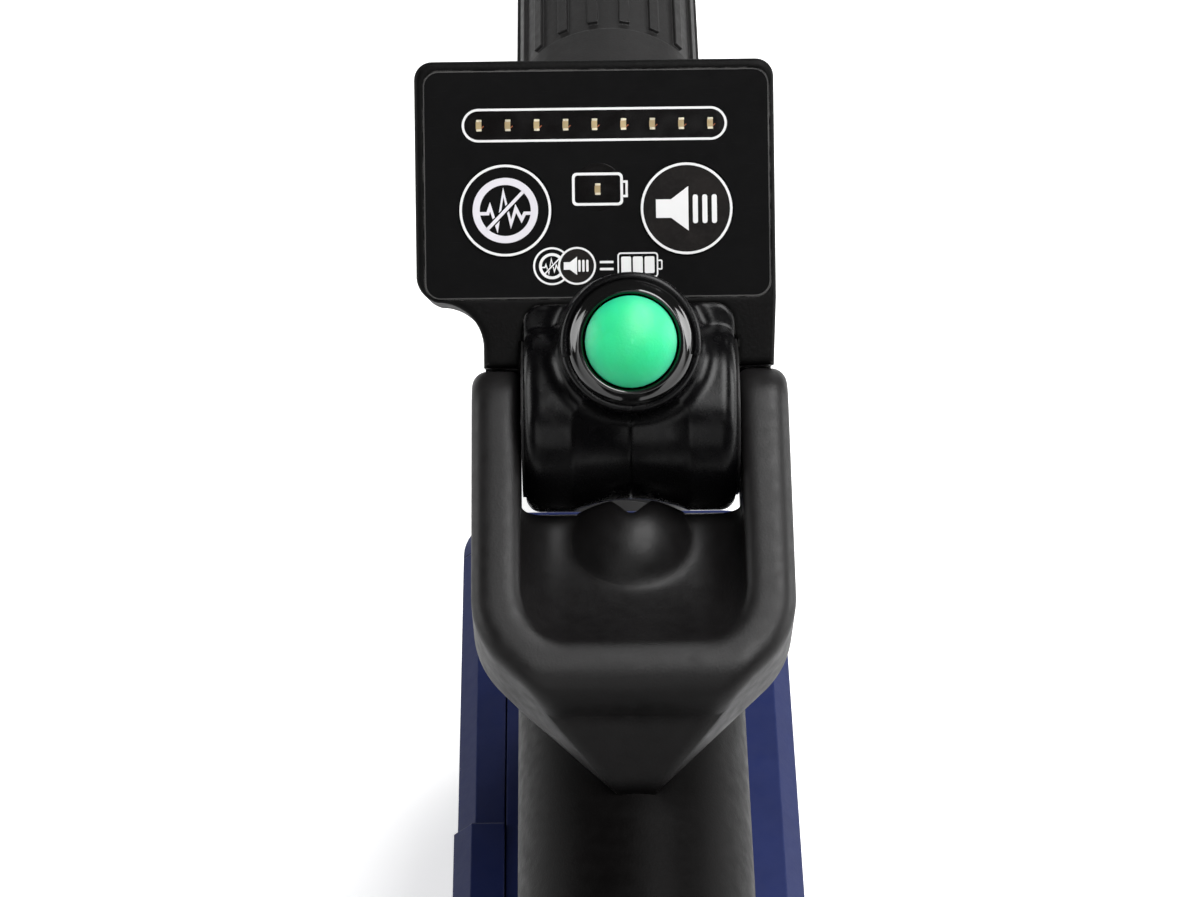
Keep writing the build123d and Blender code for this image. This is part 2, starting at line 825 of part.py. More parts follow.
with BuildPart() as speaker_grille:
    with BuildSketch(side_at(speaker_seat)):
        with Locations((speaker_y, speaker_z)):
            Circle(speaker_radius + grille_margin)
    extrude(amount=grille_thickness)
    with BuildSketch(side_at(speaker_seat)):
        for row in range(-3, 4):
            rise = row * grille_row_pitch
            reach = sqrt((speaker_radius - 3.0) ** 2 - rise**2)
            with Locations((speaker_y, speaker_z + rise)):
                SlotOverall(2 * reach, grille_slot)
    extrude(amount=grille_thickness, mode=Mode.SUBTRACT)
write(speaker_grille, "speaker_grille")

with BuildPart() as speaker:
    with BuildSketch(side_at(cavity_right - 0.5)):
        with Locations((speaker_y, speaker_z)):
            Circle(speaker_radius)
    extrude(amount=-speaker_rim)
    with BuildSketch(side_at(cavity_right - 0.5 - speaker_rim)):
        with Locations((speaker_y, speaker_z)):
            Circle(speaker_radius - 2.0)
    extrude(amount=-speaker_cone, taper=35)
    with BuildSketch(side_at(cavity_right - 0.5 - speaker_rim - speaker_cone)):
        with Locations((speaker_y, speaker_z)):
            Circle(magnet_radius)
    extrude(amount=-magnet_length)
write(speaker, "speaker")

with BuildPart() as headphone_socket:
    with BuildSketch(side_at(half_width)):
        with Locations((jack_y, jack_z)):
            Circle(jack_flange_radius)
    extrude(amount=jack_flange)
    chamfer(headphone_socket.edges().group_by(Axis.X)[-1], 0.5)
    with BuildSketch(side_at(half_width)):
        with Locations((jack_y, jack_z)):
            Circle(jack_body_radius)
    extrude(amount=-jack_depth)
    # spanner flats on the flange
    with BuildSketch(side_at(half_width + jack_flange)):
        with Locations((jack_y, jack_z)):
            with PolarLocations(jack_flange_radius, 2):
                Rectangle(2.0, 2 * jack_flange_radius)
    extrude(amount=-0.8, mode=Mode.SUBTRACT)
    with BuildSketch(side_at(half_width + jack_flange)):
        with Locations((jack_y, jack_z)):
            Circle(jack_radius)
    extrude(amount=-jack_depth, mode=Mode.SUBTRACT)
write(headphone_socket, "headphone_socket")

# ------------------------------------------------------------------ handle
post_foot = housing_height + 1.0

with BuildPart() as bent_frame:
    with BuildLine(Plane.YZ) as handle_line:
        FilletPolyline(
            (front_foot_y, post_foot),
            (front_corner_y, grip_height),
            (rear_foot_y, grip_height),
            (rear_foot_y, post_foot),
            radius=bend_radius,
        )
    post_lean = atan((front_foot_y - front_corner_y) / (grip_height - post_foot))
    with BuildSketch(
        Plane(
            origin=(0, front_foot_y, post_foot),
            x_dir=(1, 0, 0),
            z_dir=(0, -sin(post_lean), cos(post_lean)),
        )
    ):
        Circle(frame_radius)
    sweep(path=handle_line.line)
    split(bisect_by=Plane.XY.offset(post_foot), keep=Keep.TOP)
    for foot_y, foot_span in ((front_foot_y, front_foot_length), (rear_foot_y, foot_width)):
        with BuildSketch(Plane.XY.offset(housing_height)):
            with Locations((0, foot_y)):
                RectangleRounded(foot_width, foot_span, foot_corner)
        extrude(amount=foot_thickness, taper=foot_taper)
    with BuildSketch(Plane.XY.offset(housing_height)):
        with Locations(*handle_screw_spots):
            Circle(handle_screw_radius + seat_gap)
    extrude(amount=handle_screw_length - housing_roof + 2.0, mode=Mode.SUBTRACT)

guard_screw_spots = [(side * guard_screw_x, grip_front + guard_screw_shift) for side in (-1, 1)]
guard_screw_low = grip_height - frame_radius + 4.0
guard_screw_top = grip_height + guard_screw_rise

with BuildPart() as grip_sleeve:
    with BuildSketch(section_at(grip_front)):
        with Locations((0, grip_height)):
            Circle(grip_radius)
    extrude(amount=grip_length)
    fillet(grip_sleeve.edges(), grip_rounding)
    with BuildSketch(section_at(grip_front)):
        with Locations((0, grip_height)):
            Circle(frame_radius + pin_fit)
    extrude(amount=grip_length, mode=Mode.SUBTRACT)
    # finger grooves under the grip
    groove_pitch = (grip_length - groove_first - groove_last) / (groove_count - 1)
    for groove in range(groove_count):
        groove_y = grip_front - groove_first - groove_pitch * groove
        with BuildSketch(side_at(-grip_radius - cut_past)):
            with Locations((groove_y, grip_height - grip_radius - groove_drop)):
                Circle(groove_radius)
        extrude(amount=2 * (grip_radius + cut_past), mode=Mode.SUBTRACT)
write(grip_sleeve, "grip_sleeve")

with BuildPart() as handle_screws:
    with BuildSketch(Plane.XY.offset(cavity_top)):
        with Locations(*handle_screw_spots):
            Circle(handle_screw_radius + 1.8)
    extrude(amount=-handle_screw_head)
    with BuildSketch(Plane.XY.offset(cavity_top)):
        with Locations(*handle_screw_spots):
            Circle(handle_screw_radius)
    extrude(amount=handle_screw_length)
write(handle_screws, "handle_screws")

# ------------------------------------------------------------------ thumb guard
guard_top = arm_radius
guard_shoulder = -arm_straight - shoulder_drop
channel_floor = -channel_depth

with BuildPart() as guard_prism:
    with BuildSketch(guard_plane.offset(guard_top)) as guard_plan:
        with BuildLine():
            Polyline(
                (-arm_outer, guard_top + cut_past),
                (-arm_outer, guard_shoulder),
                (-tip_half, -tip_back),
                (tip_half, -tip_back),
                (arm_outer, guard_shoulder),
                (arm_outer, guard_top + cut_past),
                close=True,
            )
        make_face()
        shoulders = [corner for corner in guard_plan.vertices() if abs(corner.Y - guard_shoulder) < 0.1]
        fillet(shoulders, shoulder_round)
    extrude(amount=-2 * arm_radius)
    with BuildSketch(guard_plane.offset(guard_top - 2 * arm_radius)):
        add(guard_plan.sketch_local.faces()[0])
    extrude(amount=-guard_depth, taper=guard_taper)

channel_reach = 2 * arm_radius + channel_corner

# thumb channel: a scoop that rises to the crest, its floor rounded into its walls
with BuildPart() as thumb_channel:
    with BuildSketch(tilted_side(guard_tilt, -arm_inner)):
        with BuildLine():
            ThreePointArc(
                (-channel_front, channel_floor),
                (-channel_bend, channel_floor + channel_bend_rise),
                (-crest_back, guard_top + channel_end_rise),
            )
            Polyline(
                (-crest_back, guard_top + channel_end_rise),
                (-crest_back, channel_reach),
                (channel_reach, channel_reach),
                (channel_reach, channel_floor),
                (-channel_front, channel_floor),
            )
        make_face()
    extrude(amount=2 * arm_inner)
    floor_curves = thumb_channel.edges().filter_by(GeomType.CIRCLE)
    floor_lines = lying_on(thumb_channel.edges(), guard_plane, channel_floor)
    floor_lines = [line for line in floor_lines if abs(abs(line.center().X) - arm_inner) < 0.01]
    fillet(floor_curves + floor_lines, channel_corner)


def lengthwise_rim(edges, least, most):
    """Edges along the top of the thumb guard whose ends lie between two distances from its middle."""
    found = []
    for edge in lying_on(edges, guard_plane, guard_top):
        ends = [guard_plane.to_local_coords(vertex.center()) for vertex in edge.vertices()]
        inside = all(least < abs(end.X) < most for end in ends)
        if inside and abs(ends[0].Y - ends[-1].Y) > 1.0:
            found.append(edge)
    return found


with BuildPart() as guard_block:
    # the two arms, rounded about the hinge
    with BuildSketch(tilted_side(guard_tilt, -arm_outer)):
        with Locations((-crest_back / 2, 0)):
            SlotCenterToCenter(crest_back, 2 * arm_radius)
    extrude(amount=2 * arm_outer)
    # the body between them, down to the grip
    with BuildSketch(side_at(-arm_outer)):
        tilt = radians(guard_tilt)
        crest_y = hinge_y - crest_back * cos(tilt) - guard_top * sin(tilt)
        crest_z = hinge_z - crest_back * sin(tilt) + guard_top * cos(tilt)
        tip_y = hinge_y - tip_back * cos(tilt) + tip_drop * sin(tilt)
        with BuildLine():
            Polyline(
                (guard_front_y, grip_height),
                (guard_front_y, hinge_z),
                (crest_y + crest_run, crest_z + crest_rise),
                (crest_y, crest_z),
                (tip_y, grip_height + grip_radius - 0.2),
                (tip_y, grip_height),
                close=True,
            )
        make_face()
    extrude(amount=2 * arm_outer)
    add(guard_prism.part, mode=Mode.INTERSECT)
    add(thumb_channel.part, mode=Mode.SUBTRACT)
    fillet(lengthwise_rim(guard_block.edges(), arm_inner + 0.1, arm_outer + 0.1), rim_outer)
    fillet(lengthwise_rim(guard_block.edges(), 0.0, arm_inner + 0.1), rim_inner)
    # round clearance for the knuckle of the head
    with BuildSketch(side_at(-arm_inner)):
        with Locations((hinge_y, hinge_z)):
            Circle(barrel_radius + knuckle_room)
    extrude(amount=2 * arm_inner, mode=Mode.SUBTRACT)
    with BuildSketch(side_at(-arm_inner)):
        with Locations((guard_front_y, grip_height)):
            Rectangle(
                hinge_y + 2 * arm_radius - guard_front_y,
                hinge_rise + 2 * arm_radius,
                align=(Align.MIN, Align.MIN),
            )
    extrude(amount=2 * arm_inner, mode=Mode.SUBTRACT)

dome_rise_radius = (dome_radius**2 + dome_height**2) / (2 * dome_height)
notch_tip = notch_back - dome_back

with BuildPart() as dome:
    with BuildSketch(tilted_side(guard_tilt, 0)):
        with Locations((-dome_back, channel_floor + dome_lift + dome_height - dome_rise_radius)):
            Circle(dome_rise_radius)
            with Locations((-dome_rise_radius, 0)):
                Rectangle(2 * dome_rise_radius, 4 * dome_rise_radius, mode=Mode.SUBTRACT)
    revolve(axis=Axis(guard_plane.from_local_coords(Vector(0, -dome_back, 0)), guard_plane.z_dir))
    # notch at its front, towards the knuckle
    with BuildSketch(guard_plane) as notch:
        with BuildLine():
            Polyline(
                (0, notch_tip),
                (notch_half, dome_radius - dome_back),
                (-notch_half, dome_radius - dome_back),
                close=True,
            )
        make_face()
        fillet(notch.vertices().sort_by(Axis(guard_plane.origin, guard_plane.y_dir))[0], notch_round)
    extrude(amount=2 * dome_rise_radius, both=True, mode=Mode.SUBTRACT)
    # clear of the hollow round the knuckle
    with BuildSketch(pod_plane):
        with BuildLine():
            Line((-waist_half, 0), (-waist_half, barrel_radius + dome_gap))
            ThreePointArc(
                (-waist_half, barrel_radius + dome_gap),
                (0, barrel_radius - waist_depth + dome_gap),
                (waist_half, barrel_radius + dome_gap),
            )
            Line((waist_half, barrel_radius + dome_gap), (waist_half, 0))
            Line((waist_half, 0), (-waist_half, 0))
        make_face()
    revolve(axis=hinge_axis, mode=Mode.SUBTRACT)
    with BuildSketch(guard_plane.offset(channel_floor - dome_root)):
        with Locations((0, -dome_back)):
            Rectangle(4 * dome_rise_radius, 4 * dome_rise_radius)
    extrude(amount=-3 * dome_rise_radius, mode=Mode.SUBTRACT)

with BuildPart() as thumb_guard:
    add(guard_block.part)
    add(dome.part)
    add(bent_frame.part, mode=Mode.SUBTRACT)
    with BuildSketch(section_at(grip_front)):
        with Locations((0, grip_height)):
            Circle(grip_radius)
    extrude(amount=grip_length, mode=Mode.SUBTRACT)
    with BuildSketch(side_at(-hinge_pin_half)):
        with Locations((hinge_y, hinge_z)):
            Circle(hinge_pin_radius)
    extrude(amount=2 * hinge_pin_half, mode=Mode.SUBTRACT)
    with BuildSketch(Plane.XY.offset(guard_screw_low)):
        with Locations(*guard_screw_spots):
            Circle(guard_screw_radius)
    extrude(amount=guard_screw_top - guard_screw_low, mode=Mode.SUBTRACT)
write(thumb_guard, "thumb_guard")

with BuildPart() as handle_frame:
    add(bent_frame.part)
    with BuildSketch(Plane.XY.offset(guard_screw_low)):
        with Locations(*guard_screw_spots):
            Circle(guard_screw_radius)
    extrude(amount=2 * frame_radius, mode=Mode.SUBTRACT)
    with BuildSketch(Plane.XY.offset(guard_screw_low)):
        with Locations(*guard_screw_spots):
            Circle(guard_screw_head + fit_gap)
    extrude(amount=-12.0, mode=Mode.SUBTRACT)
write(handle_frame, "handle_frame")

with BuildPart() as guard_screws:
    with BuildSketch(Plane.XY.offset(guard_screw_low)):
        with Locations(*guard_screw_spots):
            Circle(guard_screw_head)
    extrude(amount=-guard_screw_head_height)
    with BuildSketch(Plane.XY.offset(guard_screw_low)):
        with Locations(*guard_screw_spots):
            Circle(guard_screw_radius)
    extrude(amount=guard_screw_top - guard_screw_low - 0.5)
    with BuildSketch(Plane.XY.offset(guard_screw_low - guard_screw_head_height)):
        with Locations(*guard_screw_spots):
            RegularPolygon(1.9, 6)
    extrude(amount=1.5, mode=Mode.SUBTRACT)
write(guard_screws, "guard_screws")

with BuildPart() as hinge_pin:
    with BuildSketch(side_at(-hinge_pin_half)):
        with Locations((hinge_y, hinge_z)):
            Circle(hinge_pin_radius)
    extrude(amount=2 * hinge_pin_half)
    chamfer(hinge_pin.edges(), 0.4)
write(hinge_pin, "hinge_pin")

with BuildPart() as hinge_washers:
    with BuildSketch(side_at(-barrel_half)):
        with Locations((hinge_y, hinge_z)):
            Circle(washer_radius)
            Circle(hinge_pin_radius + pin_fit, mode=Mode.SUBTRACT)
    extrude(amount=barrel_half + fit_gap - arm_inner)
    mirror(about=Plane.YZ)
write(hinge_washers, "hinge_washers")

# ------------------------------------------------------------------ head with the thumb button
bezel_seat = collar_height - bezel_sink
cap_base = collar_height + bezel_height - cap_skirt + cap_sink
collar_taper = degrees(atan((collar_base_radius - collar_end_radius) / collar_height))

cap_crown = cap_skirt - cap_sink
head_screw_spots = [(side * head_screw_x, pod_bottom - head_screw_drop) for side in (-1, 1)]


def collar_foot(edges):
    """Edges where the collar stands on the knuckle and its plate."""
    found = []
    for edge in edges:
        points = [pod_plane.to_local_coords(edge.position_at(share)) for share in (0.0, 0.5, 1.0)]
        reaches = [sqrt(point.X**2 + (point.Y - collar_centre) ** 2) for point in points]
        rises = [point.Z for point in points]
        if min(reaches) > collar_end_radius and max(reaches) < collar_base_radius + 0.3:
            if min(rises) > 0 and max(rises) < barrel_radius + 1.0:
                found.append(edge)
    return found


with BuildPart() as head:
    # knuckle about the hinge, with rounded ends
    with BuildSketch(tilted_side(pod_tilt, -barrel_half)):
        Circle(barrel_radius)
    extrude(amount=2 * barrel_half)
    fillet(head.edges().filter_by(GeomType.CIRCLE), barrel_end)
    # hollow round its middle, over the dome of the thumb guard
    with BuildSketch(pod_plane):
        with BuildLine():
            ThreePointArc(
                (-waist_half, barrel_radius),
                (0, barrel_radius - waist_depth),
                (waist_half, barrel_radius),
            )
            Line((waist_half, barrel_radius), (waist_half, barrel_radius + waist_depth))
            Line((waist_half, barrel_radius + waist_depth), (-waist_half, barrel_radius + waist_depth))
            Line((-waist_half, barrel_radius + waist_depth), (-waist_half, barrel_radius))
        make_face()
    revolve(axis=hinge_axis, mode=Mode.SUBTRACT)
    # plate that runs up into the pod
    with BuildSketch(pod_plane.offset(plate_top)):
        RectangleRounded(2 * barrel_half, 2 * head_top, plate_corner)
        with Locations((0, -head_top)):
            Rectangle(4 * barrel_half, 2 * head_top, mode=Mode.SUBTRACT)
    extrude(amount=-plate_thickness)
    # collar that carries the button, flared into the knuckle
    with BuildSketch(pod_plane):
        with Locations((0, collar_centre)):
            Circle(collar_base_radius)
    extrude(amount=collar_height, taper=collar_taper)
    fillet(collar_foot(head.edges()), collar_flare)
    fillet(lying_on(head.edges(), pod_plane, collar_height), 1.0)
    # blind holes for the two screws that hold it in the pod
    with BuildSketch(pod_plane.offset(plate_top - plate_thickness)):
        with Locations(*head_screw_spots):
            Circle(head_screw_radius)
    head_screw_top = head_screw_start + head_screw_length
    extrude(amount=head_screw_top - plate_top + plate_thickness, mode=Mode.SUBTRACT)
    # bores for the hinge pin and the button's switch
    with BuildSketch(side_at(-barrel_half)):
        with Locations((hinge_y, hinge_z)):
            Circle(hinge_pin_radius + pin_fit)
    extrude(amount=2 * barrel_half, mode=Mode.SUBTRACT)
    with BuildSketch(pod_plane.offset(bezel_seat)):
        with Locations((0, collar_centre)):
            Circle(bezel_radius)
    extrude(amount=5.0, mode=Mode.SUBTRACT)
    with BuildSketch(pod_plane.offset(-switch_drop - switch_leg - seat_gap)):
        with Locations((0, collar_centre)):
            Circle(switch_radius + seat_gap)
    extrude(amount=40.0, mode=Mode.SUBTRACT)
    with BuildSketch(pod_plane.offset(cap_base - button_travel - fit_gap)):
        with Locations((0, collar_centre)):
            Circle(cap_radius + fit_gap)
    extrude(amount=10.0, mode=Mode.SUBTRACT)

with BuildPart() as head_left:
    add(head.part)
    split(bisect_by=Plane.YZ, keep=Keep.BOTTOM)
write(head_left, "head_left")

with BuildPart() as head_right:
    add(head.part)
    split(bisect_by=Plane.YZ, keep=Keep.TOP)
write(head_right, "head_right")

with BuildPart() as button_bezel:
    with BuildSketch(pod_plane.offset(bezel_seat)):
        with Locations((0, collar_centre)):
            Circle(bezel_radius - 0.05)
            Circle(cap_radius + fit_gap, mode=Mode.SUBTRACT)
    extrude(amount=collar_height - bezel_seat + bezel_height)
    outer_rim = lying_on(button_bezel.edges(), pod_plane, collar_height + bezel_height)
    fillet(outer_rim, bezel_rounding)
write(button_bezel, "button_bezel")

dome_sphere = (cap_radius**2 + cap_rise**2) / (2 * cap_rise)

with BuildPart() as button_cap:
    with BuildSketch(tilted_side(pod_tilt, 0)):
        with BuildLine():
            Polyline(
                (collar_centre, cap_base),
                (collar_centre + cap_radius, cap_base),
                (collar_centre + cap_radius, cap_base + cap_crown),
            )
            ThreePointArc(
                (collar_centre + cap_radius, cap_base + cap_crown),
                (
                    collar_centre + cap_radius * sin(radians(45)),
                    cap_base + cap_crown + cap_rise
                    - (dome_sphere - sqrt(dome_sphere**2 - (cap_radius * sin(radians(45))) ** 2)),
                ),
                (collar_centre, cap_base + cap_crown + cap_rise),
            )
            Line((collar_centre, cap_base + cap_crown + cap_rise), (collar_centre, cap_base))
        make_face()
    revolve(axis=Axis(pod_plane.from_local_coords(Vector(0, collar_centre, 0)), pod_plane.z_dir))
write(button_cap, "button_cap")

with BuildPart() as switch_body:
    with BuildSketch(pod_plane.offset(-switch_drop)):
        with Locations((0, collar_centre)):
            Circle(switch_radius)
    extrude(amount=cap_base - button_travel - fit_gap + switch_drop)
    with BuildSketch(pod_plane.offset(-switch_drop)):
        with Locations((-switch_leg_x, collar_centre), (switch_leg_x, collar_centre)):
            Rectangle(1.0, 3.0)
    extrude(amount=-switch_leg)
write(switch_body, "switch_body")

# ------------------------------------------------------------------ display pod
pod_width = pod_right - pod_left
pod_x = (pod_left + pod_right) / 2
pod_rise = pod_top - pod_bottom
pod_v = (pod_top + pod_bottom) / 2
shell_depth = pod_depth - pod_back_depth
shoulder_u = -neck_half - shoulder_radius

with BuildPart() as pod_solid:
    with BuildSketch(pod_plane) as pod_face:
        with BuildLine():
            Line((pod_left, pod_top), (pod_right, pod_top))
            Line((pod_right, pod_top), (pod_right, pod_bottom))
            Line((pod_right, pod_bottom), (neck_half, neck_end))
            Line((neck_half, neck_end), (-neck_half, neck_end))
            Line((-neck_half, neck_end), (-neck_half, shoulder_v))
            ThreePointArc(
                (-neck_half, shoulder_v),
                (shoulder_u + 0.707 * shoulder_radius, shoulder_v + 0.707 * shoulder_radius),
                (shoulder_u, shoulder_v + shoulder_radius),
            )
            ThreePointArc(
                (shoulder_u, shoulder_v + shoulder_radius),
                (pod_left + pod_low_middle, pod_bottom + pod_low_middle),
                (pod_left, pod_bottom + pod_low_corner),
            )
            Line((pod_left, pod_bottom + pod_low_corner), (pod_left, pod_top))
        make_face()
        top_corners = [corner for corner in pod_face.vertices() if abs(corner.Y - pod_top) < 0.1]
        fillet(top_corners, pod_corner)
    extrude(amount=-pod_depth)
    # skirt of the neck, behind the thumb guard's arms
    with BuildSketch(pod_plane.offset(-skirt_start)):
        with Locations((0, neck_end)):
            Rectangle(2 * neck_half, neck_end - skirt_end, align=(Align.CENTER, Align.MAX))
    extrude(amount=skirt_start - pod_depth)
    rims = lying_on(pod_solid.edges(), pod_plane, 0.0)
    fillet(rims, pod_face_round)
    backs = lying_on(pod_solid.edges(), pod_plane, -pod_depth)
    fillet(backs, pod_back_round)
    # seats round the knuckle and its washers, and clearance round the thumb guard's arms
    with BuildSketch(side_at(-arm_inner)):
        with Locations((hinge_y, hinge_z)):
            Circle(washer_radius + seat_gap)
    extrude(amount=2 * arm_inner, mode=Mode.SUBTRACT)
    with BuildSketch(side_at(-barrel_half - barrel_seat_end)):
        with Locations((hinge_y, hinge_z)):
            Circle(barrel_radius + barrel_seat)
    extrude(amount=2 * (barrel_half + barrel_seat_end), mode=Mode.SUBTRACT)
    with BuildSketch(side_at(-arm_outer)):
        with Locations((hinge_y, hinge_z)):
            Circle(arm_radius + arm_clearance)
    extrude(amount=2 * arm_outer, mode=Mode.SUBTRACT)
    add(head.part, mode=Mode.SUBTRACT)
    with BuildSketch(pod_plane.offset(-switch_drop - switch_leg - seat_gap)):
        with Locations((0, collar_centre)):
            Circle(switch_radius + seat_gap)
    extrude(amount=12.0, mode=Mode.SUBTRACT)

label_left = pod_left + label_margin
label_right = pod_right - label_margin_right
label_top = pod_top - label_margin_top
label_bottom = pod_bottom + label_margin_bottom
label_x = (label_left + label_right) / 2
label_v = (label_top + label_bottom) / 2
key_spots = [(noise_key_x, key_height), (volume_key_x, key_height)]
lamp_first = lamp_row_x - lamp_pitch * (lamp_count - 1) / 2
lamp_spots = [(lamp_first + lamp_pitch * i, lamp_row_v) for i in range(lamp_count)]
battery_lamp_spot = (battery_window_x, battery_window_v)
pod_screw_low = pod_bottom + pod_screw_inset + pod_screw_lift
pod_screw_high = pod_top - pod_screw_inset
pod_screw_spots = [
    (pod_left + pod_screw_inset, pod_screw_high),
    (pod_right - pod_screw_inset, pod_screw_high),
    (pod_left + pod_screw_inset, pod_screw_low),
    (pod_right - pod_screw_inset, pod_screw_low),
]
pod_room_length = pod_width - 2 * pod_wall
pod_room_height = pod_rise - 2 * (pod_wall + pod_room_shift)

with BuildPart() as pod_shell:
    add(pod_solid.part)
    split(bisect_by=pod_plane.offset(-shell_depth), keep=Keep.TOP)
    # recess for the label
    with BuildSketch(pod_plane.offset(-label_thickness)):
        with Locations((label_x, label_v)):
            RectangleRounded(label_right - label_left, label_top - label_bottom, label_corner)
    extrude(amount=2.0, mode=Mode.SUBTRACT)
    # room for the board, the keys and the lamps
    with BuildSketch(pod_plane.offset(-shell_depth)):
        with Locations((pod_x, pod_v + pod_room_shift)):
            RectangleRounded(pod_room_length, pod_room_height, 2.0)
    extrude(amount=shell_depth - face_wall, mode=Mode.SUBTRACT)
    with BuildSketch(pod_plane.offset(-face_wall - label_thickness)):
        with Locations(*key_spots):
            Circle(key_radius - 1.0)
        with Locations((lamp_row_x, lamp_row_v)):
            SlotOverall(window_length - 1.0, window_height - 1.0)
        with Locations(battery_lamp_spot):
            RectangleRounded(battery_window_length - 1.0, battery_window_height - 1.0, 0.5)
    extrude(amount=face_wall + label_thickness, mode=Mode.SUBTRACT)
    # screw bosses
    with BuildSketch(pod_plane.offset(-shell_depth)):
        with Locations(*pod_screw_spots):
            Circle(pod_boss_radius)
    extrude(amount=shell_depth - face_wall)
    with BuildSketch(pod_plane.offset(-shell_depth)):
        with Locations(*pod_screw_spots):
            Circle(pod_screw_radius)
    extrude(amount=10.0, mode=Mode.SUBTRACT)
    with BuildSketch(pod_plane.offset(-shell_depth)):
        with Locations(*head_screw_spots):
            Circle(head_screw_radius)
    extrude(amount=shell_depth, mode=Mode.SUBTRACT)
write(pod_shell, "pod_shell")

with BuildPart() as pod_back:
    add(pod_solid.part)
    split(bisect_by=pod_plane.offset(-shell_depth - pod_gasket_thickness), keep=Keep.BOTTOM)
    with BuildSketch(pod_plane.offset(-shell_depth - pod_gasket_thickness)):
        with Locations((pod_x, pod_v + pod_room_shift)):
            RectangleRounded(pod_room_length - 9.0, pod_rise - 2 * pod_wall - 10.0, 2.0)
    extrude(amount=-pod_back_depth + pod_gasket_thickness + 2.2, mode=Mode.SUBTRACT)
    with BuildSketch(pod_plane.offset(-pod_depth)):
        with Locations(*pod_screw_spots):
            Circle(1.6)
    extrude(amount=pod_back_depth, mode=Mode.SUBTRACT)
    with BuildSketch(pod_plane.offset(-pod_depth)):
        with Locations(*pod_screw_spots):
            Circle(2.7)
    extrude(amount=2.2, mode=Mode.SUBTRACT)
    # stiffening ribs
    with BuildSketch(pod_plane.offset(-pod_depth)):
        with Locations((pod_x, pod_v)):
            with GridLocations(0, pod_rib_pitch, 1, 3):
                SlotOverall(pod_width - 2 * pod_rib_setback, pod_rib_width)
    extrude(amount=-pod_rib_height)
write(pod_back, "pod_back")

with BuildPart() as pod_gasket:
    add(pod_solid.part)
    split(bisect_by=pod_plane.offset(-shell_depth), keep=Keep.BOTTOM)
    split(bisect_by=pod_plane.offset(-shell_depth - pod_gasket_thickness), keep=Keep.TOP)
    with BuildSketch(pod_plane.offset(-shell_depth - 1.0)):
        with Locations((pod_x, pod_v + pod_room_shift)):
            RectangleRounded(pod_room_length, pod_room_height, 2.0)
    extrude(amount=2.0, mode=Mode.SUBTRACT)
write(pod_gasket, "pod_gasket")

with BuildPart() as pod_screws:
    with BuildSketch(pod_plane.offset(-pod_depth + pod_screw_head_sink)):
        with Locations(*pod_screw_spots):
            Circle(pod_screw_head_radius)
    extrude(amount=pod_screw_head_height)
    with BuildSketch(pod_plane.offset(-pod_depth + 2.0)):
        with Locations(*pod_screw_spots):
            Circle(pod_screw_radius)
    extrude(amount=pod_back_depth + pod_screw_reach)
    with BuildSketch(pod_plane.offset(-pod_depth + pod_screw_head_sink)):
        with Locations(*pod_screw_spots):
            RegularPolygon(1.2, 6)
    extrude(amount=1.0, mode=Mode.SUBTRACT)
    # two more hold the head to the shell from inside
    with BuildSketch(pod_plane.offset(head_screw_start)):
        with Locations(*head_screw_spots):
            Circle(head_screw_radius)
    extrude(amount=head_screw_length)
write(pod_screws, "pod_screws")

with BuildPart() as pod_label:
    with BuildSketch(pod_plane.offset(-label_thickness)):
        with Locations((label_x, label_v)):
            RectangleRounded(
                label_right - label_left - 2 * label_gap,
                label_top - label_bottom - 2 * label_gap,
                label_corner - label_gap,
            )
        with Locations(*key_spots):
            Circle(key_radius + fit_gap, mode=Mode.SUBTRACT)
        with Locations((lamp_row_x, lamp_row_v)):
            SlotOverall(window_length, window_height, mode=Mode.SUBTRACT)
        with Locations(battery_lamp_spot):
            RectangleRounded(battery_window_length, battery_window_height, 0.6, mode=Mode.SUBTRACT)
    extrude(amount=label_thickness + label_proud)
    add(head.part, mode=Mode.SUBTRACT)
write(pod_label, "pod_label")

with BuildPart() as lamp_windows:
    with BuildSketch(pod_plane.offset(-label_thickness)):
        with Locations((lamp_row_x, lamp_row_v)):
            SlotOverall(window_length - 0.1, window_height - 0.1)
        with Locations(battery_lamp_spot):
            RectangleRounded(battery_window_length - 0.1, battery_window_height - 0.1, 0.6)
    extrude(amount=label_thickness + label_proud)
write(lamp_windows, "lamp_windows")

for key_x, key_name in ((noise_key_x, "noise_key"), (volume_key_x, "volume_key")):
    with BuildPart() as key:
        with BuildSketch(pod_plane.offset(-label_thickness + key_travel + seat_gap)):
            with Locations((key_x, key_height)):
                Circle(key_radius)
        extrude(amount=label_thickness - key_travel + 0.2)
        with BuildSketch(pod_plane.offset(-label_thickness + key_travel + seat_gap)):
            with Locations((key_x, key_height)):
                Circle(key_stem_radius)
        extrude(amount=-key_stem_length)
    write(key, key_name)

with BuildPart() as pod_board:
    with BuildSketch(pod_plane.offset(-board_depth)):
        with Locations((pod_x, pod_v + 2.0)):
            RectangleRounded(pod_width - 2 * pod_wall - 6.4, pod_rise - 2 * pod_wall - 10.0, 2.0)
        with Locations(*pod_screw_spots):
            Circle(pod_boss_radius + fit_gap, mode=Mode.SUBTRACT)
    extrude(amount=-board_thickness)
    with BuildSketch(pod_plane.offset(-board_depth)):
        with Locations(*key_spots):
            RectangleRounded(key_switch_side, key_switch_side, 0.5)
    extrude(amount=key_switch_height)
    with BuildSketch(pod_plane.offset(-board_depth - board_thickness)):
        with Locations((pod_x, pod_v)):
            Rectangle(pod_chip_side, pod_chip_side)
        with Locations((pod_x + pod_chip_side, pod_v - small_chip_drop)):
            Rectangle(small_chip_length, small_chip_width)
    extrude(amount=-pod_chip_height)
write(pod_board, "pod_board")

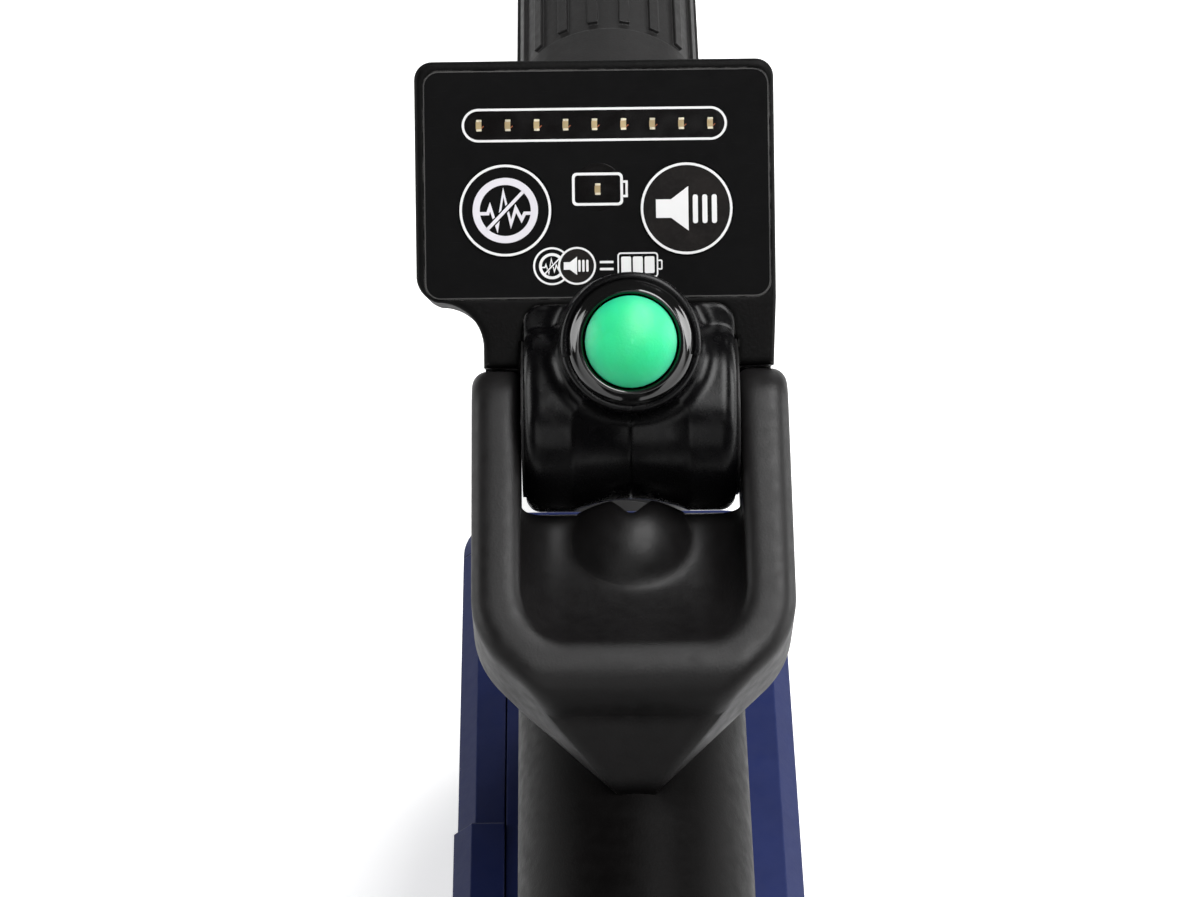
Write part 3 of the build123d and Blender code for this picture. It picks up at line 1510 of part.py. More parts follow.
with BuildPart() as pod_lamps:
    with BuildSketch(pod_plane.offset(-board_depth)):
        with Locations(*lamp_spots, battery_lamp_spot):
            Rectangle(lamp_width, lamp_length)
    extrude(amount=board_depth - label_thickness - 0.6)
write(pod_lamps, "pod_lamps")

# ------------------------------------------------------------------ shaft
socket_screw_span = 2 * (socket_radius - 1.0)

with BuildPart() as shaft_socket:
    with BuildSketch(section_at(half_length + socket_length)):
        with Locations((0, shaft_z)):
            Circle(socket_radius - socket_step)
    extrude(amount=socket_length - socket_plate, taper=-6)
    with BuildSketch(section_at(half_length + socket_plate)):
        with Locations((0, shaft_z)):
            RectangleRounded(2 * socket_radius + 6.0, 2 * socket_radius + 6.0, 9.0)
    extrude(amount=socket_plate)
    with BuildSketch(section_at(half_length + socket_length)):
        with Locations((0, shaft_z)):
            Circle(upper_radius)
    extrude(amount=socket_length, mode=Mode.SUBTRACT)
    with BuildSketch(section_at(half_length + socket_plate)):
        with Locations((0, shaft_z)):
            with GridLocations(socket_screw_span, socket_screw_span, 2, 2):
                Circle(socket_screw_room)
    extrude(amount=socket_screw_room, mode=Mode.SUBTRACT)
write(shaft_socket, "shaft_socket")

with BuildPart() as socket_screws:
    with BuildSketch(section_at(half_length + 4.6)):
        with Locations((0, shaft_z)):
            with GridLocations(socket_screw_span, socket_screw_span, 2, 2):
                Circle(socket_screw_radius)
    extrude(amount=2.2)
    with BuildSketch(section_at(half_length + 4.6)):
        with Locations((0, shaft_z)):
            with GridLocations(socket_screw_span, socket_screw_span, 2, 2):
                RegularPolygon(socket_screw_radius / 2, 6)
    extrude(amount=1.4, mode=Mode.SUBTRACT)
write(socket_screws, "socket_screws")

tube_rear = half_length - tube_inset

with BuildPart() as upper_tube:
    with BuildSketch(section_at(upper_end)):
        with Locations((0, shaft_z)):
            Circle(upper_radius)
            Circle(upper_bore, mode=Mode.SUBTRACT)
    extrude(amount=upper_end - tube_rear)
    chamfer(upper_tube.edges().group_by(Axis.Y)[-1], 0.5)
write(upper_tube, "upper_tube")

lock_end = lock_start + lock_length
nose_radius = lower_radius + fit_gap

with BuildPart() as lock_collar:
    with BuildSketch(side_at(0)):
        with BuildLine():
            Polyline(
                (lock_start, shaft_z + upper_radius + fit_gap),
                (lock_start, shaft_z + lock_radius - 3.0),
                (lock_start + 4.0, shaft_z + lock_radius),
                (lock_start + lock_band, shaft_z + lock_radius),
                (lock_start + lock_band + 2.0, shaft_z + lock_radius - lock_step),
                (lock_end - lock_nose, shaft_z + lock_radius - lock_step),
                (lock_end, shaft_z + nose_radius + lock_lip),
                (lock_end, shaft_z + nose_radius),
                (lock_end - lock_lip, shaft_z + nose_radius),
                (lock_end - lock_lip, shaft_z + upper_radius + fit_gap),
                close=True,
            )
        make_face()
    revolve(axis=Axis((0, 0, shaft_z), (0, 1, 0)))
    # grip ribs
    with BuildSketch(section_at(lock_end - lock_nose - 2.0)):
        with Locations((0, shaft_z)):
            with PolarLocations(lock_radius - 1.9, lock_rib_count):
                Rectangle(lock_rib_width, lock_rib_height)
    extrude(amount=lock_length - lock_nose - lock_band - 6.0)
write(lock_collar, "lock_collar")

with BuildPart() as collet:
    with BuildSketch(section_at(lock_end - lock_lip - 0.4)):
        with Locations((0, shaft_z)):
            Circle(upper_radius - 0.1)
            Circle(lower_radius + 0.35, mode=Mode.SUBTRACT)
    extrude(amount=lock_end - lock_lip - 0.4 - upper_end)
    with BuildSketch(section_at(lock_end - lock_lip)):
        with Locations((0, shaft_z)):
            Rectangle(2.0, 2 * upper_radius + 2.0)
    extrude(amount=3.0, mode=Mode.SUBTRACT)
write(collet, "collet")

with BuildPart() as lower_tube:
    with BuildSketch(section_at(lower_end)):
        with Locations((0, shaft_z)):
            Circle(lower_radius)
            Circle(lower_radius - lower_wall, mode=Mode.SUBTRACT)
    extrude(amount=lower_end - lower_start)
write(lower_tube, "lower_tube")

with BuildPart() as tube_bush:
    with BuildSketch(section_at(lower_start)):
        with Locations((0, shaft_z)):
            Circle(upper_bore - 0.06)
            Circle(lower_radius - lower_wall - bush_wall, mode=Mode.SUBTRACT)
    extrude(amount=bush_length)
    with BuildSketch(section_at(lower_start + bush_plug)):
        with Locations((0, shaft_z)):
            Circle(lower_radius - lower_wall)
            Circle(lower_radius - lower_wall - bush_wall, mode=Mode.SUBTRACT)
    extrude(amount=bush_plug)
write(tube_bush, "tube_bush")

tongue_half = ear_gap_half - fit_gap

with BuildPart() as tube_yoke:
    with BuildSketch(section_at(lower_end + yoke_neck)):
        with Locations((0, shaft_z)):
            Circle(lower_radius)
    extrude(amount=yoke_neck)
    fillet(tube_yoke.edges().group_by(Axis.Y)[-1], yoke_round)
    with BuildSketch(section_at(lower_end)):
        with Locations((0, shaft_z)):
            Circle(lower_radius - lower_wall)
    extrude(amount=yoke_plug)
    with BuildSketch(side_at(-tongue_half)):
        with Locations(((lower_end + pivot_y + ear_radius) / 2, shaft_z)):
            SlotCenterToCenter(pivot_y - lower_end - ear_radius, 2 * ear_radius)
    extrude(amount=2 * tongue_half)
    with BuildSketch(side_at(-tongue_half)):
        with Locations((pivot_y, shaft_z)):
            Circle(pivot_radius + pin_fit)
    extrude(amount=2 * tongue_half, mode=Mode.SUBTRACT)
write(tube_yoke, "tube_yoke")

# ------------------------------------------------------------------ search coil
ring_middle = coil_radius - coil_ring_width / 2
coil_inner = coil_radius - coil_ring_width
coil_seam = coil_base_height
ear_foot = ear_radius + ear_flare
ear_base = coil_height - ear_sink
gland_y = -ear_radius - gland_setback
coil_plane = Plane(origin=(0, pivot_y, 0), x_dir=(1, 0, 0), z_dir=(0, 0, 1))

with BuildPart() as coil_solid:
    with BuildSketch(coil_plane):
        Circle(coil_radius)
        Circle(coil_inner, mode=Mode.SUBTRACT)
        Rectangle(coil_bar_width, 2 * ring_middle)
    extrude(amount=coil_height)
    top_rims = lying_on(coil_solid.edges(), coil_plane, coil_height)
    fillet(top_rims, coil_top_round)
    low_rims = lying_on(coil_solid.edges(), coil_plane, 0.0)
    fillet(low_rims, coil_bottom_round)

with BuildPart() as coil_groove:
    with BuildSketch(coil_plane.offset(coil_wall)):
        Circle(coil_radius - coil_wall)
        Circle(coil_inner + coil_wall, mode=Mode.SUBTRACT)
    extrude(amount=coil_height - 2 * coil_wall)

with BuildPart() as coil_base:
    add(coil_solid.part)
    split(bisect_by=coil_plane.offset(coil_seam), keep=Keep.BOTTOM)
    add(coil_groove.part, mode=Mode.SUBTRACT)
write(coil_base, "coil_base")

with BuildPart() as coil_top:
    add(coil_solid.part)
    split(bisect_by=coil_plane.offset(coil_seam), keep=Keep.TOP)
    add(coil_groove.part, mode=Mode.SUBTRACT)
    # ears for the shaft
    for side in (-1, 1):
        ear_near = side * ear_gap_half if side > 0 else -ear_gap_half - ear_thickness
        with BuildSketch(side_at(ear_near)):
            with BuildLine():
                Line((pivot_y - ear_foot, ear_base), (pivot_y + ear_foot, ear_base))
                Line((pivot_y + ear_foot, ear_base), (pivot_y + ear_radius, shaft_z))
                ThreePointArc(
                    (pivot_y + ear_radius, shaft_z),
                    (pivot_y, shaft_z + ear_radius),
                    (pivot_y - ear_radius, shaft_z),
                )
                Line((pivot_y - ear_radius, shaft_z), (pivot_y - ear_foot, ear_base))
            make_face()
        extrude(amount=ear_thickness)
    with BuildSketch(side_at(-coil_bar_width)):
        with Locations((pivot_y, shaft_z)):
            Circle(pivot_radius)
    extrude(amount=2 * coil_bar_width, mode=Mode.SUBTRACT)
    # seat of the cable gland
    with BuildSketch(coil_plane.offset(coil_height)):
        with Locations((0, gland_y)):
            Circle(gland_radius)
    extrude(amount=-gland_depth, mode=Mode.SUBTRACT)
write(coil_top, "coil_top")

winding_low = coil_wall + winding_gap
transmit_outer = coil_radius - coil_wall - winding_gap
receive_inner = coil_inner + coil_wall + winding_gap

with BuildPart() as transmit_winding:
    with BuildSketch(coil_plane.offset(winding_low)):
        Circle(transmit_outer)
        Circle(transmit_outer - transmit_width, mode=Mode.SUBTRACT)
    extrude(amount=winding_height)
write(transmit_winding, "transmit_winding")

with BuildPart() as receive_winding:
    with BuildSketch(coil_plane.offset(winding_low)):
        Circle(receive_inner + receive_width)
        Circle(receive_inner, mode=Mode.SUBTRACT)
    extrude(amount=winding_height)
write(receive_winding, "receive_winding")

with BuildPart() as coil_gland:
    with BuildSketch(coil_plane.offset(coil_height - gland_depth)):
        with Locations((0, gland_y)):
            Circle(gland_radius)
    extrude(amount=gland_depth)
    with BuildSketch(coil_plane.offset(coil_height)):
        with Locations((0, gland_y)):
            RegularPolygon(gland_nut, 6)
    extrude(amount=gland_nut_height)
    with BuildSketch(coil_plane.offset(coil_height)):
        with Locations((0, gland_y)):
            Circle(gland_bore)
    extrude(amount=gland_bore_depth, mode=Mode.SUBTRACT)
write(coil_gland, "coil_gland")

ear_outer = ear_gap_half + ear_thickness

with BuildPart() as pivot_bolt:
    with BuildSketch(side_at(ear_outer)):
        with Locations((pivot_y, shaft_z)):
            RegularPolygon(bolt_head, 6)
    extrude(amount=bolt_head_height)
    with BuildSketch(side_at(ear_outer)):
        with Locations((pivot_y, shaft_z)):
            Circle(pivot_radius)
    extrude(amount=-2 * ear_outer - bolt_reach)
write(pivot_bolt, "pivot_bolt")

with BuildPart() as pivot_washers:
    for start in (-ear_gap_half, tongue_half + 0.02):
        with BuildSketch(side_at(start + 0.01)):
            with Locations((pivot_y, shaft_z)):
                Circle(ear_radius - 2.0)
                Circle(pivot_radius + pin_fit, mode=Mode.SUBTRACT)
        extrude(amount=ear_gap_half - tongue_half - 0.04)
write(pivot_washers, "pivot_washers")

knob_start = -ear_outer - fit_gap

with BuildPart() as pivot_knob:
    with BuildSketch(side_at(knob_start)):
        with Locations((pivot_y, shaft_z)):
            Circle(knob_radius)
            with PolarLocations(knob_radius + scallop_out, knob_scallops):
                Circle(scallop_radius, mode=Mode.SUBTRACT)
    extrude(amount=-knob_length)
    fillet(pivot_knob.edges().group_by(Axis.X)[0], 1.2)
    with BuildSketch(side_at(knob_start)):
        with Locations((pivot_y, shaft_z)):
            Circle(pivot_radius + pin_fit)
    extrude(amount=-knob_bore, mode=Mode.SUBTRACT)
write(pivot_knob, "pivot_knob")

# ------------------------------------------------------------------ rear tube and arm cuff
rise = radians(rear_rise)
rear_plane = Plane(
    origin=(0, -half_length, rear_start_z), x_dir=(1, 0, 0), z_dir=(0, -cos(rise), sin(rise))
)
cuff_start = rear_length - cuff_length - cuff_setback
cuff_drop = cuff_radius + cuff_wall
cuff_centre = rear_radius + bracket_height + cuff_drop - bracket_sink

with BuildPart() as rear_socket:
    with BuildSketch(section_at(-half_length)):
        with Locations((0, rear_start_z)):
            RectangleRounded(2 * socket_radius - 4.0, 2 * socket_radius - 2.0, 8.0)
    extrude(amount=rear_socket_plate)
    with BuildSketch(rear_plane):
        Circle(rear_radius + rear_socket_wall)
    extrude(amount=rear_socket_length, taper=2)
    split(bisect_by=Plane.XZ.offset(half_length), keep=Keep.TOP)
    with BuildSketch(rear_plane.offset(rear_tube_start)):
        Circle(rear_radius)
    extrude(amount=rear_length - rear_tube_start, mode=Mode.SUBTRACT)
write(rear_socket, "rear_socket")

with BuildPart() as rear_tube:
    with BuildSketch(rear_plane.offset(rear_tube_start)):
        Circle(rear_radius)
        Circle(rear_radius - rear_wall, mode=Mode.SUBTRACT)
    extrude(amount=rear_length - rear_tube_start)
write(rear_tube, "rear_tube")

with BuildPart() as rear_cap:
    with BuildSketch(rear_plane.offset(rear_length)):
        Circle(rear_radius)
    extrude(amount=rear_cap_length)
    fillet(rear_cap.edges().sort_by(Axis.Y)[:1], rear_cap_round)
    with BuildSketch(rear_plane.offset(rear_length)):
        Circle(rear_radius - rear_wall)
    extrude(amount=-rear_cap_plug)
write(rear_cap, "rear_cap")

cuff_screw_spots = [cuff_start + cuff_screw_setback, cuff_start + cuff_length - cuff_screw_setback]
cuff_seat = cuff_centre - cuff_radius - cuff_screw_sink


def cuff_floor(along):
    """Plane under the cuff's screw heads, square to the bracket, at a distance along the rear tube."""
    return Plane(
        origin=rear_plane.from_local_coords(Vector(0, cuff_seat, along)),
        x_dir=(1, 0, 0),
        z_dir=rear_plane.y_dir,
    )


with BuildPart() as arm_cuff:
    with BuildSketch(rear_plane.offset(cuff_start)):
        with Locations((0, cuff_centre)):
            Circle(cuff_radius + cuff_wall)
            Circle(cuff_radius, mode=Mode.SUBTRACT)
        with BuildLine():
            half_open = radians(cuff_open_angle / 2)
            Polyline(
                (0, cuff_centre),
                (-2 * cuff_radius * sin(half_open), cuff_centre + 2 * cuff_radius * cos(half_open)),
                (0, cuff_centre + 4 * cuff_radius),
                (2 * cuff_radius * sin(half_open), cuff_centre + 2 * cuff_radius * cos(half_open)),
                close=True,
            )
        make_face(mode=Mode.SUBTRACT)
    extrude(amount=cuff_length)
    for along in cuff_screw_spots:
        with BuildSketch(cuff_floor(along)):
            Circle(cuff_screw_head + seat_gap)
        extrude(amount=cuff_screw_head_height + 10.0, mode=Mode.SUBTRACT)
        with BuildSketch(cuff_floor(along)):
            Circle(cuff_screw_radius)
        extrude(amount=-10.0, mode=Mode.SUBTRACT)
write(arm_cuff, "arm_cuff")

with BuildPart() as cuff_pad:
    with BuildSketch(rear_plane.offset(cuff_start + pad_inset)):
        with Locations((0, cuff_centre)):
            Circle(cuff_radius - 0.1)
            Circle(cuff_radius - pad_thickness, mode=Mode.SUBTRACT)
            Rectangle(
                4 * cuff_radius,
                2 * cuff_radius,
                align=(Align.CENTER, Align.MIN),
                mode=Mode.SUBTRACT,
            )
    extrude(amount=cuff_length - 2 * pad_inset)
write(cuff_pad, "cuff_pad")

with BuildPart() as cuff_bracket:
    with BuildSketch(rear_plane.offset(cuff_start + pad_inset)):
        Circle(rear_radius + rear_socket_wall)
        web_height = rear_radius + bracket_height + bracket_over
        with Locations((0, web_height / 2)):
            Rectangle(bracket_width, web_height)
        Circle(rear_radius, mode=Mode.SUBTRACT)
        with Locations((0, cuff_centre)):
            Circle(cuff_radius + cuff_wall, mode=Mode.SUBTRACT)
    extrude(amount=cuff_length - 2 * pad_inset)
    for along in cuff_screw_spots:
        with BuildSketch(cuff_floor(along)):
            Circle(cuff_screw_radius)
        extrude(amount=-cuff_screw_length, mode=Mode.SUBTRACT)
write(cuff_bracket, "cuff_bracket")

with BuildPart() as cuff_screws:
    for along in cuff_screw_spots:
        with BuildSketch(cuff_floor(along)):
            Circle(cuff_screw_radius)
        extrude(amount=-cuff_screw_length)
        with BuildSketch(cuff_floor(along)):
            Circle(cuff_screw_head)
        extrude(amount=cuff_screw_head_height)
write(cuff_screws, "cuff_screws")
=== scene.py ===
"""Looks of the metal detector: materials, printed symbols, small details, light and camera.

Shapes are in millimetres and scaled to the scene's metres by MM; light and camera are in metres.
The pod's own coordinates are u to the right, v up along its face from the hinge and n out of it.
"""

import json
import math

import bmesh
import bpy
from mathutils import Matrix, Vector

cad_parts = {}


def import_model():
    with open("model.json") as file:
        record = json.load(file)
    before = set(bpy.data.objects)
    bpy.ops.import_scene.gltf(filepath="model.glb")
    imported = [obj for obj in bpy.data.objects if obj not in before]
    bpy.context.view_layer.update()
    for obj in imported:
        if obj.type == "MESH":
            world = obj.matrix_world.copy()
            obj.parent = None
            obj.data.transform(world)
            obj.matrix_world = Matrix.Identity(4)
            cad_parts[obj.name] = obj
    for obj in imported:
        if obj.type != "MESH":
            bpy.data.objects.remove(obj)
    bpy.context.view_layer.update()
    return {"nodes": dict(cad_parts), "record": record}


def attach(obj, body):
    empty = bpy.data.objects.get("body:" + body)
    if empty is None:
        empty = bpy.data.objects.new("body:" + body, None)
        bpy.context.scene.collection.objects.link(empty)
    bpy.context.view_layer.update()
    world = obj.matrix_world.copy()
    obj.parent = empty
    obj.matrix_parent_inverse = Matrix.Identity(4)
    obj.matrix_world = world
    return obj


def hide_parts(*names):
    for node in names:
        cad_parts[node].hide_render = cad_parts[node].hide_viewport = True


MM = 0.001

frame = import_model()
nodes = frame["nodes"]
scene = bpy.context.scene


# ---------------------------------------------------------------- placement
POD_ORIGIN = (0, 49.5, 193.6)
POD_SLOPE = math.radians(45)
REAR_ORIGIN = (0, -135, 46)
REAR_RISE = math.radians(15)


def placed(origin, normal):
    """Matrix of a local frame in millimetres, with x to the right and z along the normal."""
    x_axis = Vector((1, 0, 0))
    z_axis = Vector(normal).normalized()
    turn = Matrix((x_axis, z_axis.cross(x_axis), z_axis)).transposed().to_4x4()
    return Matrix.Translation(Vector(origin) * MM) @ turn @ Matrix.Scale(MM, 4)


POD = placed(POD_ORIGIN, (0, -math.sin(POD_SLOPE), math.cos(POD_SLOPE)))
REAR = placed(REAR_ORIGIN, (0, -math.cos(REAR_RISE), math.sin(REAR_RISE)))


# ---------------------------------------------------------------- shader nodes
MIX_FACTOR, MIX_A, MIX_B, MIX_RESULT = 0, 6, 7, 2  # the Mix node's sockets for colours
MIDDLE = (0.3, 0.7)  # where most of a noise's values lie


def connect(tree, node, sockets):
    """Give each socket, by name or number, a constant or a link from another node's output."""
    for key, value in sockets.items():
        if isinstance(value, bpy.types.NodeSocket):
            tree.links.new(value, node.inputs[key])
        else:
            node.inputs[key].default_value = value


def added(tree, kind, sockets, operation=None):
    node = tree.nodes.new(kind)
    if operation:
        node.operation = operation
    connect(tree, node, sockets)
    return node


def noise(tree, scale, detail, stretch=None):
    """Noise in the object's own coordinates, which may be stretched first."""
    place = added(tree, "ShaderNodeTexCoord", {}).outputs["Object"]
    if stretch:
        mapping = added(tree, "ShaderNodeMapping", {"Vector": place, "Scale": stretch})
        place = mapping.outputs["Vector"]
    sockets = {"Vector": place, "Scale": scale, "Detail": detail}
    return added(tree, "ShaderNodeTexNoise", sockets).outputs["Fac"]


def ranged(tree, value, low, high, used=MIDDLE):
    """A value that runs over the used range, brought to run from low to high."""
    sockets = {"Value": value, "From Min": used[0], "From Max": used[1],
               "To Min": low, "To Max": high}
    return added(tree, "ShaderNodeMapRange", sockets).outputs["Result"]


def mixed(tree, factor, first, second):
    """A mix of two colours."""
    node = tree.nodes.new("ShaderNodeMix")
    node.data_type = "RGBA"
    connect(tree, node, {MIX_FACTOR: factor, MIX_A: first, MIX_B: second})
    return node.outputs[MIX_RESULT]


def rounded_normal(tree, radius, samples):
    """The surface's normal with its edges rounded off."""
    node = added(tree, "ShaderNodeBevel", {"Radius": radius})
    node.samples = samples
    return node.outputs["Normal"]


def bumped(tree, height, distance, strength, normal):
    sockets = {"Height": height, "Distance": distance, "Strength": strength, "Normal": normal}
    return added(tree, "ShaderNodeBump", sockets).outputs["Normal"]


def toned(color, times, plus=0.0):
    """An opaque colour, lighter or darker than the one given."""
    return (*(min(1.0, channel * times + plus) for channel in color), 1.0)


# ---------------------------------------------------------------- materials
# scales are in repeats per metre
PATCH_SCALE, PATCH_DETAIL = 130.0, 3.0
GLOSS_SCALE, GLOSS_DETAIL = 420.0, 4.0
WEAR_SCALE, WEAR_DETAIL = 420.0, 5.0
WAVE_SCALE, WAVE_DETAIL = 190.0, 2.0
SPECKLE_DETAIL, GRAIN_DETAIL, SCRATCH_DETAIL = 2.0, 3.0, 3.0
SCRATCH_SCALE, SCRATCH_STRETCH = 1.0, (260.0, 9000.0, 3000.0)

# the parts of a noise's range that show
SPECKLE_RANGE = (0.45, 0.75)
WEAR_RANGE = (0.42, 0.62)
SCRATCH_RANGE = (0.66, 0.74)

# how much lighter specks and scratches are: (times, plus)
SPECKLE_TONE = (1.6, 0.01)
SCRATCH_TONE = (2.5, 0.03)
SPECKLE_SHARE = 0.35
LEAST_ROUGHNESS = 0.02
COAT_ROUGHNESS = 0.08
GLOW_RADIUS = (0.5, 1.0, 0.8)
GLOW_DEPTH = 8.0 * MM
GRAIN_STRENGTH = 0.6
WAVE_STRENGTH = 0.7
EDGE_SAMPLES = 8
# the worn edge mask: real rubbing, and on the pod also a painted highlight of its lit top bevel
WEAR_SAMPLES = 4
WEAR_RADIUS = 0.6 * MM
WEAR_ANGLES = (0.86, 0.985)  # cosines between the rounded and the flat normal


def worn_and_highlit_edges(tree, wear_and_highlight):
    """How far edges are lightened, by rubbing and on the pod also by a painted highlight: where
    the rounded normal parts from the flat one, in patches.
    """
    wide = rounded_normal(tree, WEAR_RADIUS, WEAR_SAMPLES)
    flat = added(tree, "ShaderNodeNewGeometry", {}).outputs["Normal"]
    along = added(tree, "ShaderNodeVectorMath", {0: wide, 1: flat}, "DOT_PRODUCT")
    rubbed = ranged(tree, along.outputs["Value"], wear_and_highlight, 0.0, WEAR_ANGLES)
    patchy = ranged(tree, noise(tree, WEAR_SCALE, WEAR_DETAIL), 0.0, 1.0, WEAR_RANGE)
    worn = added(tree, "ShaderNodeMath", {0: rubbed, 1: patchy}, "MULTIPLY")
    worn.use_clamp = True
    return worn.outputs[0]


def shade(name, color, rough, grain, bump, mottle, edge, spread=0.06, gleam=0.5, metal=0.0,
          coat=0.0, glow=0.0, wave=0.0, scratch=0.0, wear_and_highlight=0.0, wear_and_highlight_color=None):
    """A procedural surface.

    rough and spread are its roughness and how unevenly it varies; grain and bump are the scale
    and the depth of a fine grain; mottle is how unevenly the colour varies; edge is the radius
    that rounds edges off; gleam is the strength of reflections; glow is the light that passes
    under the skin; wave is the depth of slow swells; scratch and wear are how much of each shows.
    The lighter colour on worn edges is rubbing, and on the pod also a painted highlight of its lit
    edges.
    """
    material = bpy.data.materials.new(name)
    material.use_nodes = True
    tree = material.node_tree

    patches = ranged(tree, noise(tree, PATCH_SCALE, PATCH_DETAIL), 0.0, 1.0)
    tone = mixed(tree, patches, toned(color, 1 - mottle), toned(color, 1 + mottle))
    specks = noise(tree, grain, SPECKLE_DETAIL)
    speckle = ranged(tree, specks, 0.0, SPECKLE_SHARE * mottle, SPECKLE_RANGE)
    tone = mixed(tree, speckle, tone, toned(color, *SPECKLE_TONE))
    if wear_and_highlight:
        tone = mixed(tree, worn_and_highlit_edges(tree, wear_and_highlight), tone, toned(wear_and_highlight_color, 1))
    if scratch:
        streaks = noise(tree, SCRATCH_SCALE, SCRATCH_DETAIL, SCRATCH_STRETCH)
        streak = ranged(tree, streaks, 0.0, scratch, SCRATCH_RANGE)
        tone = mixed(tree, streak, tone, toned(color, *SCRATCH_TONE))

    gloss = ranged(tree, noise(tree, GLOSS_SCALE, GLOSS_DETAIL),
                   max(LEAST_ROUGHNESS, rough - spread), min(1.0, rough + spread))

    normal = rounded_normal(tree, edge * MM, EDGE_SAMPLES)
    height = ranged(tree, noise(tree, grain, GRAIN_DETAIL), 0.0, 1.0)
    normal = bumped(tree, height, bump * MM, GRAIN_STRENGTH, normal)
    if wave:
        swells = noise(tree, WAVE_SCALE, WAVE_DETAIL)
        normal = bumped(tree, swells, wave * MM, WAVE_STRENGTH, normal)

    connect(tree, tree.nodes["Principled BSDF"], {
        "Base Color": tone,
        "Roughness": gloss,
        "Normal": normal,
        "Metallic": metal,
        "Coat Weight": coat,
        "Coat Roughness": COAT_ROUGHNESS,
        "Specular IOR Level": gleam,
        "Subsurface Weight": glow,
        "Subsurface Radius": GLOW_RADIUS,
        "Subsurface Scale": GLOW_DEPTH,
    })
    return material


LOOKS = {
    "housing_blue": dict(color=(0.0085, 0.016, 0.082), rough=0.44, grain=1500, bump=0.012,
                         mottle=0.06, gleam=0.22, edge=0.5, wear_and_highlight=0.25,
                         wear_and_highlight_color=(0.05, 0.07, 0.18)),
    "black_plastic": dict(color=(0.008, 0.0076, 0.0078), rough=0.46, grain=1700, bump=0.015,
                          mottle=0.1, gleam=0.35, edge=0.4, wear_and_highlight=0.2,
                          wear_and_highlight_color=(0.06, 0.06, 0.06)),
    "guard_black": dict(color=(0.0068, 0.0062, 0.0064), rough=0.44, grain=2400, bump=0.012,
                        mottle=0.1, gleam=0.3, edge=3.6, wear_and_highlight=0.25,
                        wear_and_highlight_color=(0.07, 0.065, 0.06)),
    "head_black": dict(color=(0.0013, 0.0012, 0.0015), rough=0.27, grain=2400, bump=0.006,
                       mottle=0.1, gleam=0.22, edge=1.0),
    # the pod's light grey edges are partly real rubbing and partly a painted highlight of its lit
    # top bevel
    "pod_black": dict(color=(0.0024, 0.0023, 0.0023), rough=0.46, grain=1900, bump=0.03,
                      mottle=0.2, gleam=0.08, edge=1.4, wave=0.03, wear_and_highlight=0.75,
                      wear_and_highlight_color=(0.24, 0.235, 0.23)),
    "label_black": dict(color=(0.0030, 0.0030, 0.0032), rough=0.6, grain=2600, bump=0.006,
                        mottle=0.1, gleam=0.06, edge=0.1, scratch=0.1),
    "window_smoke": dict(color=(0.004, 0.0035, 0.0035), rough=0.16, grain=700, bump=0.004,
                         mottle=0.1, spread=0.05, gleam=0.3, edge=0.1, coat=0.3),
    "lamp_amber": dict(color=(0.40, 0.30, 0.15), rough=0.32, grain=1600, bump=0.02,
                       mottle=0.25, edge=0.08),
    "bezel_gloss": dict(color=(0.004, 0.004, 0.004), rough=0.1, grain=1500, bump=0.002,
                        mottle=0.1, spread=0.03, edge=0.15, coat=0.5),
    "button_green": dict(color=(0.010, 0.70, 0.29), rough=0.5, grain=2300, bump=0.03,
                         mottle=0.05, gleam=0.75, edge=0.4, glow=0.9),
    "grip_rubber": dict(color=(0.0020, 0.0017, 0.0017), rough=0.42, grain=2600, bump=0.02,
                        mottle=0.12, gleam=0.08, edge=0.5),
    "seal_rubber": dict(color=(0.010, 0.010, 0.010), rough=0.62, grain=1800, bump=0.02,
                        mottle=0.15, edge=0.3),
    "steel": dict(color=(0.42, 0.42, 0.43), rough=0.3, grain=1200, bump=0.008, mottle=0.12,
                  edge=0.15, metal=1.0, scratch=0.2),
    "nylon_black": dict(color=(0.012, 0.012, 0.012), rough=0.5, grain=1800, bump=0.02,
                        mottle=0.15, edge=0.3),
    "board_green": dict(color=(0.01, 0.11, 0.045), rough=0.3, grain=1400, bump=0.01,
                        mottle=0.25, edge=0.15),
    "cell_wrap": dict(color=(0.03, 0.03, 0.035), rough=0.25, grain=700, bump=0.006,
                      mottle=0.15, edge=0.4, coat=0.4),
    "contact_metal": dict(color=(0.62, 0.52, 0.30), rough=0.28, grain=1200, bump=0.01,
                          mottle=0.2, edge=0.15, metal=1.0),
    "tube_black": dict(color=(0.0065, 0.0065, 0.007), rough=0.36, grain=1200, bump=0.008,
                       mottle=0.12, gleam=0.25, edge=0.3, scratch=0.2),
    "collar_black": dict(color=(0.010, 0.0095, 0.0095), rough=0.48, grain=2000, bump=0.02,
                         mottle=0.12, gleam=0.4, edge=0.5, wear_and_highlight=0.3,
                         wear_and_highlight_color=(0.07, 0.07, 0.07)),
    "coil_black": dict(color=(0.012, 0.012, 0.013), rough=0.52, grain=1500, bump=0.03,
                       mottle=0.12, gleam=0.4, edge=0.6, scratch=0.2, wear_and_highlight=0.3,
                       wear_and_highlight_color=(0.08, 0.08, 0.08)),
    "copper": dict(color=(0.55, 0.21, 0.09), rough=0.3, grain=1500, bump=0.05, mottle=0.2,
                   edge=0.2, metal=1.0),
    "pad_foam": dict(color=(0.014, 0.014, 0.015), rough=0.85, grain=1300, bump=0.12,
                     mottle=0.3, edge=0.5, wave=0.2),
}
SLOTS = {slot: shade(slot, **look) for slot, look in LOOKS.items()}
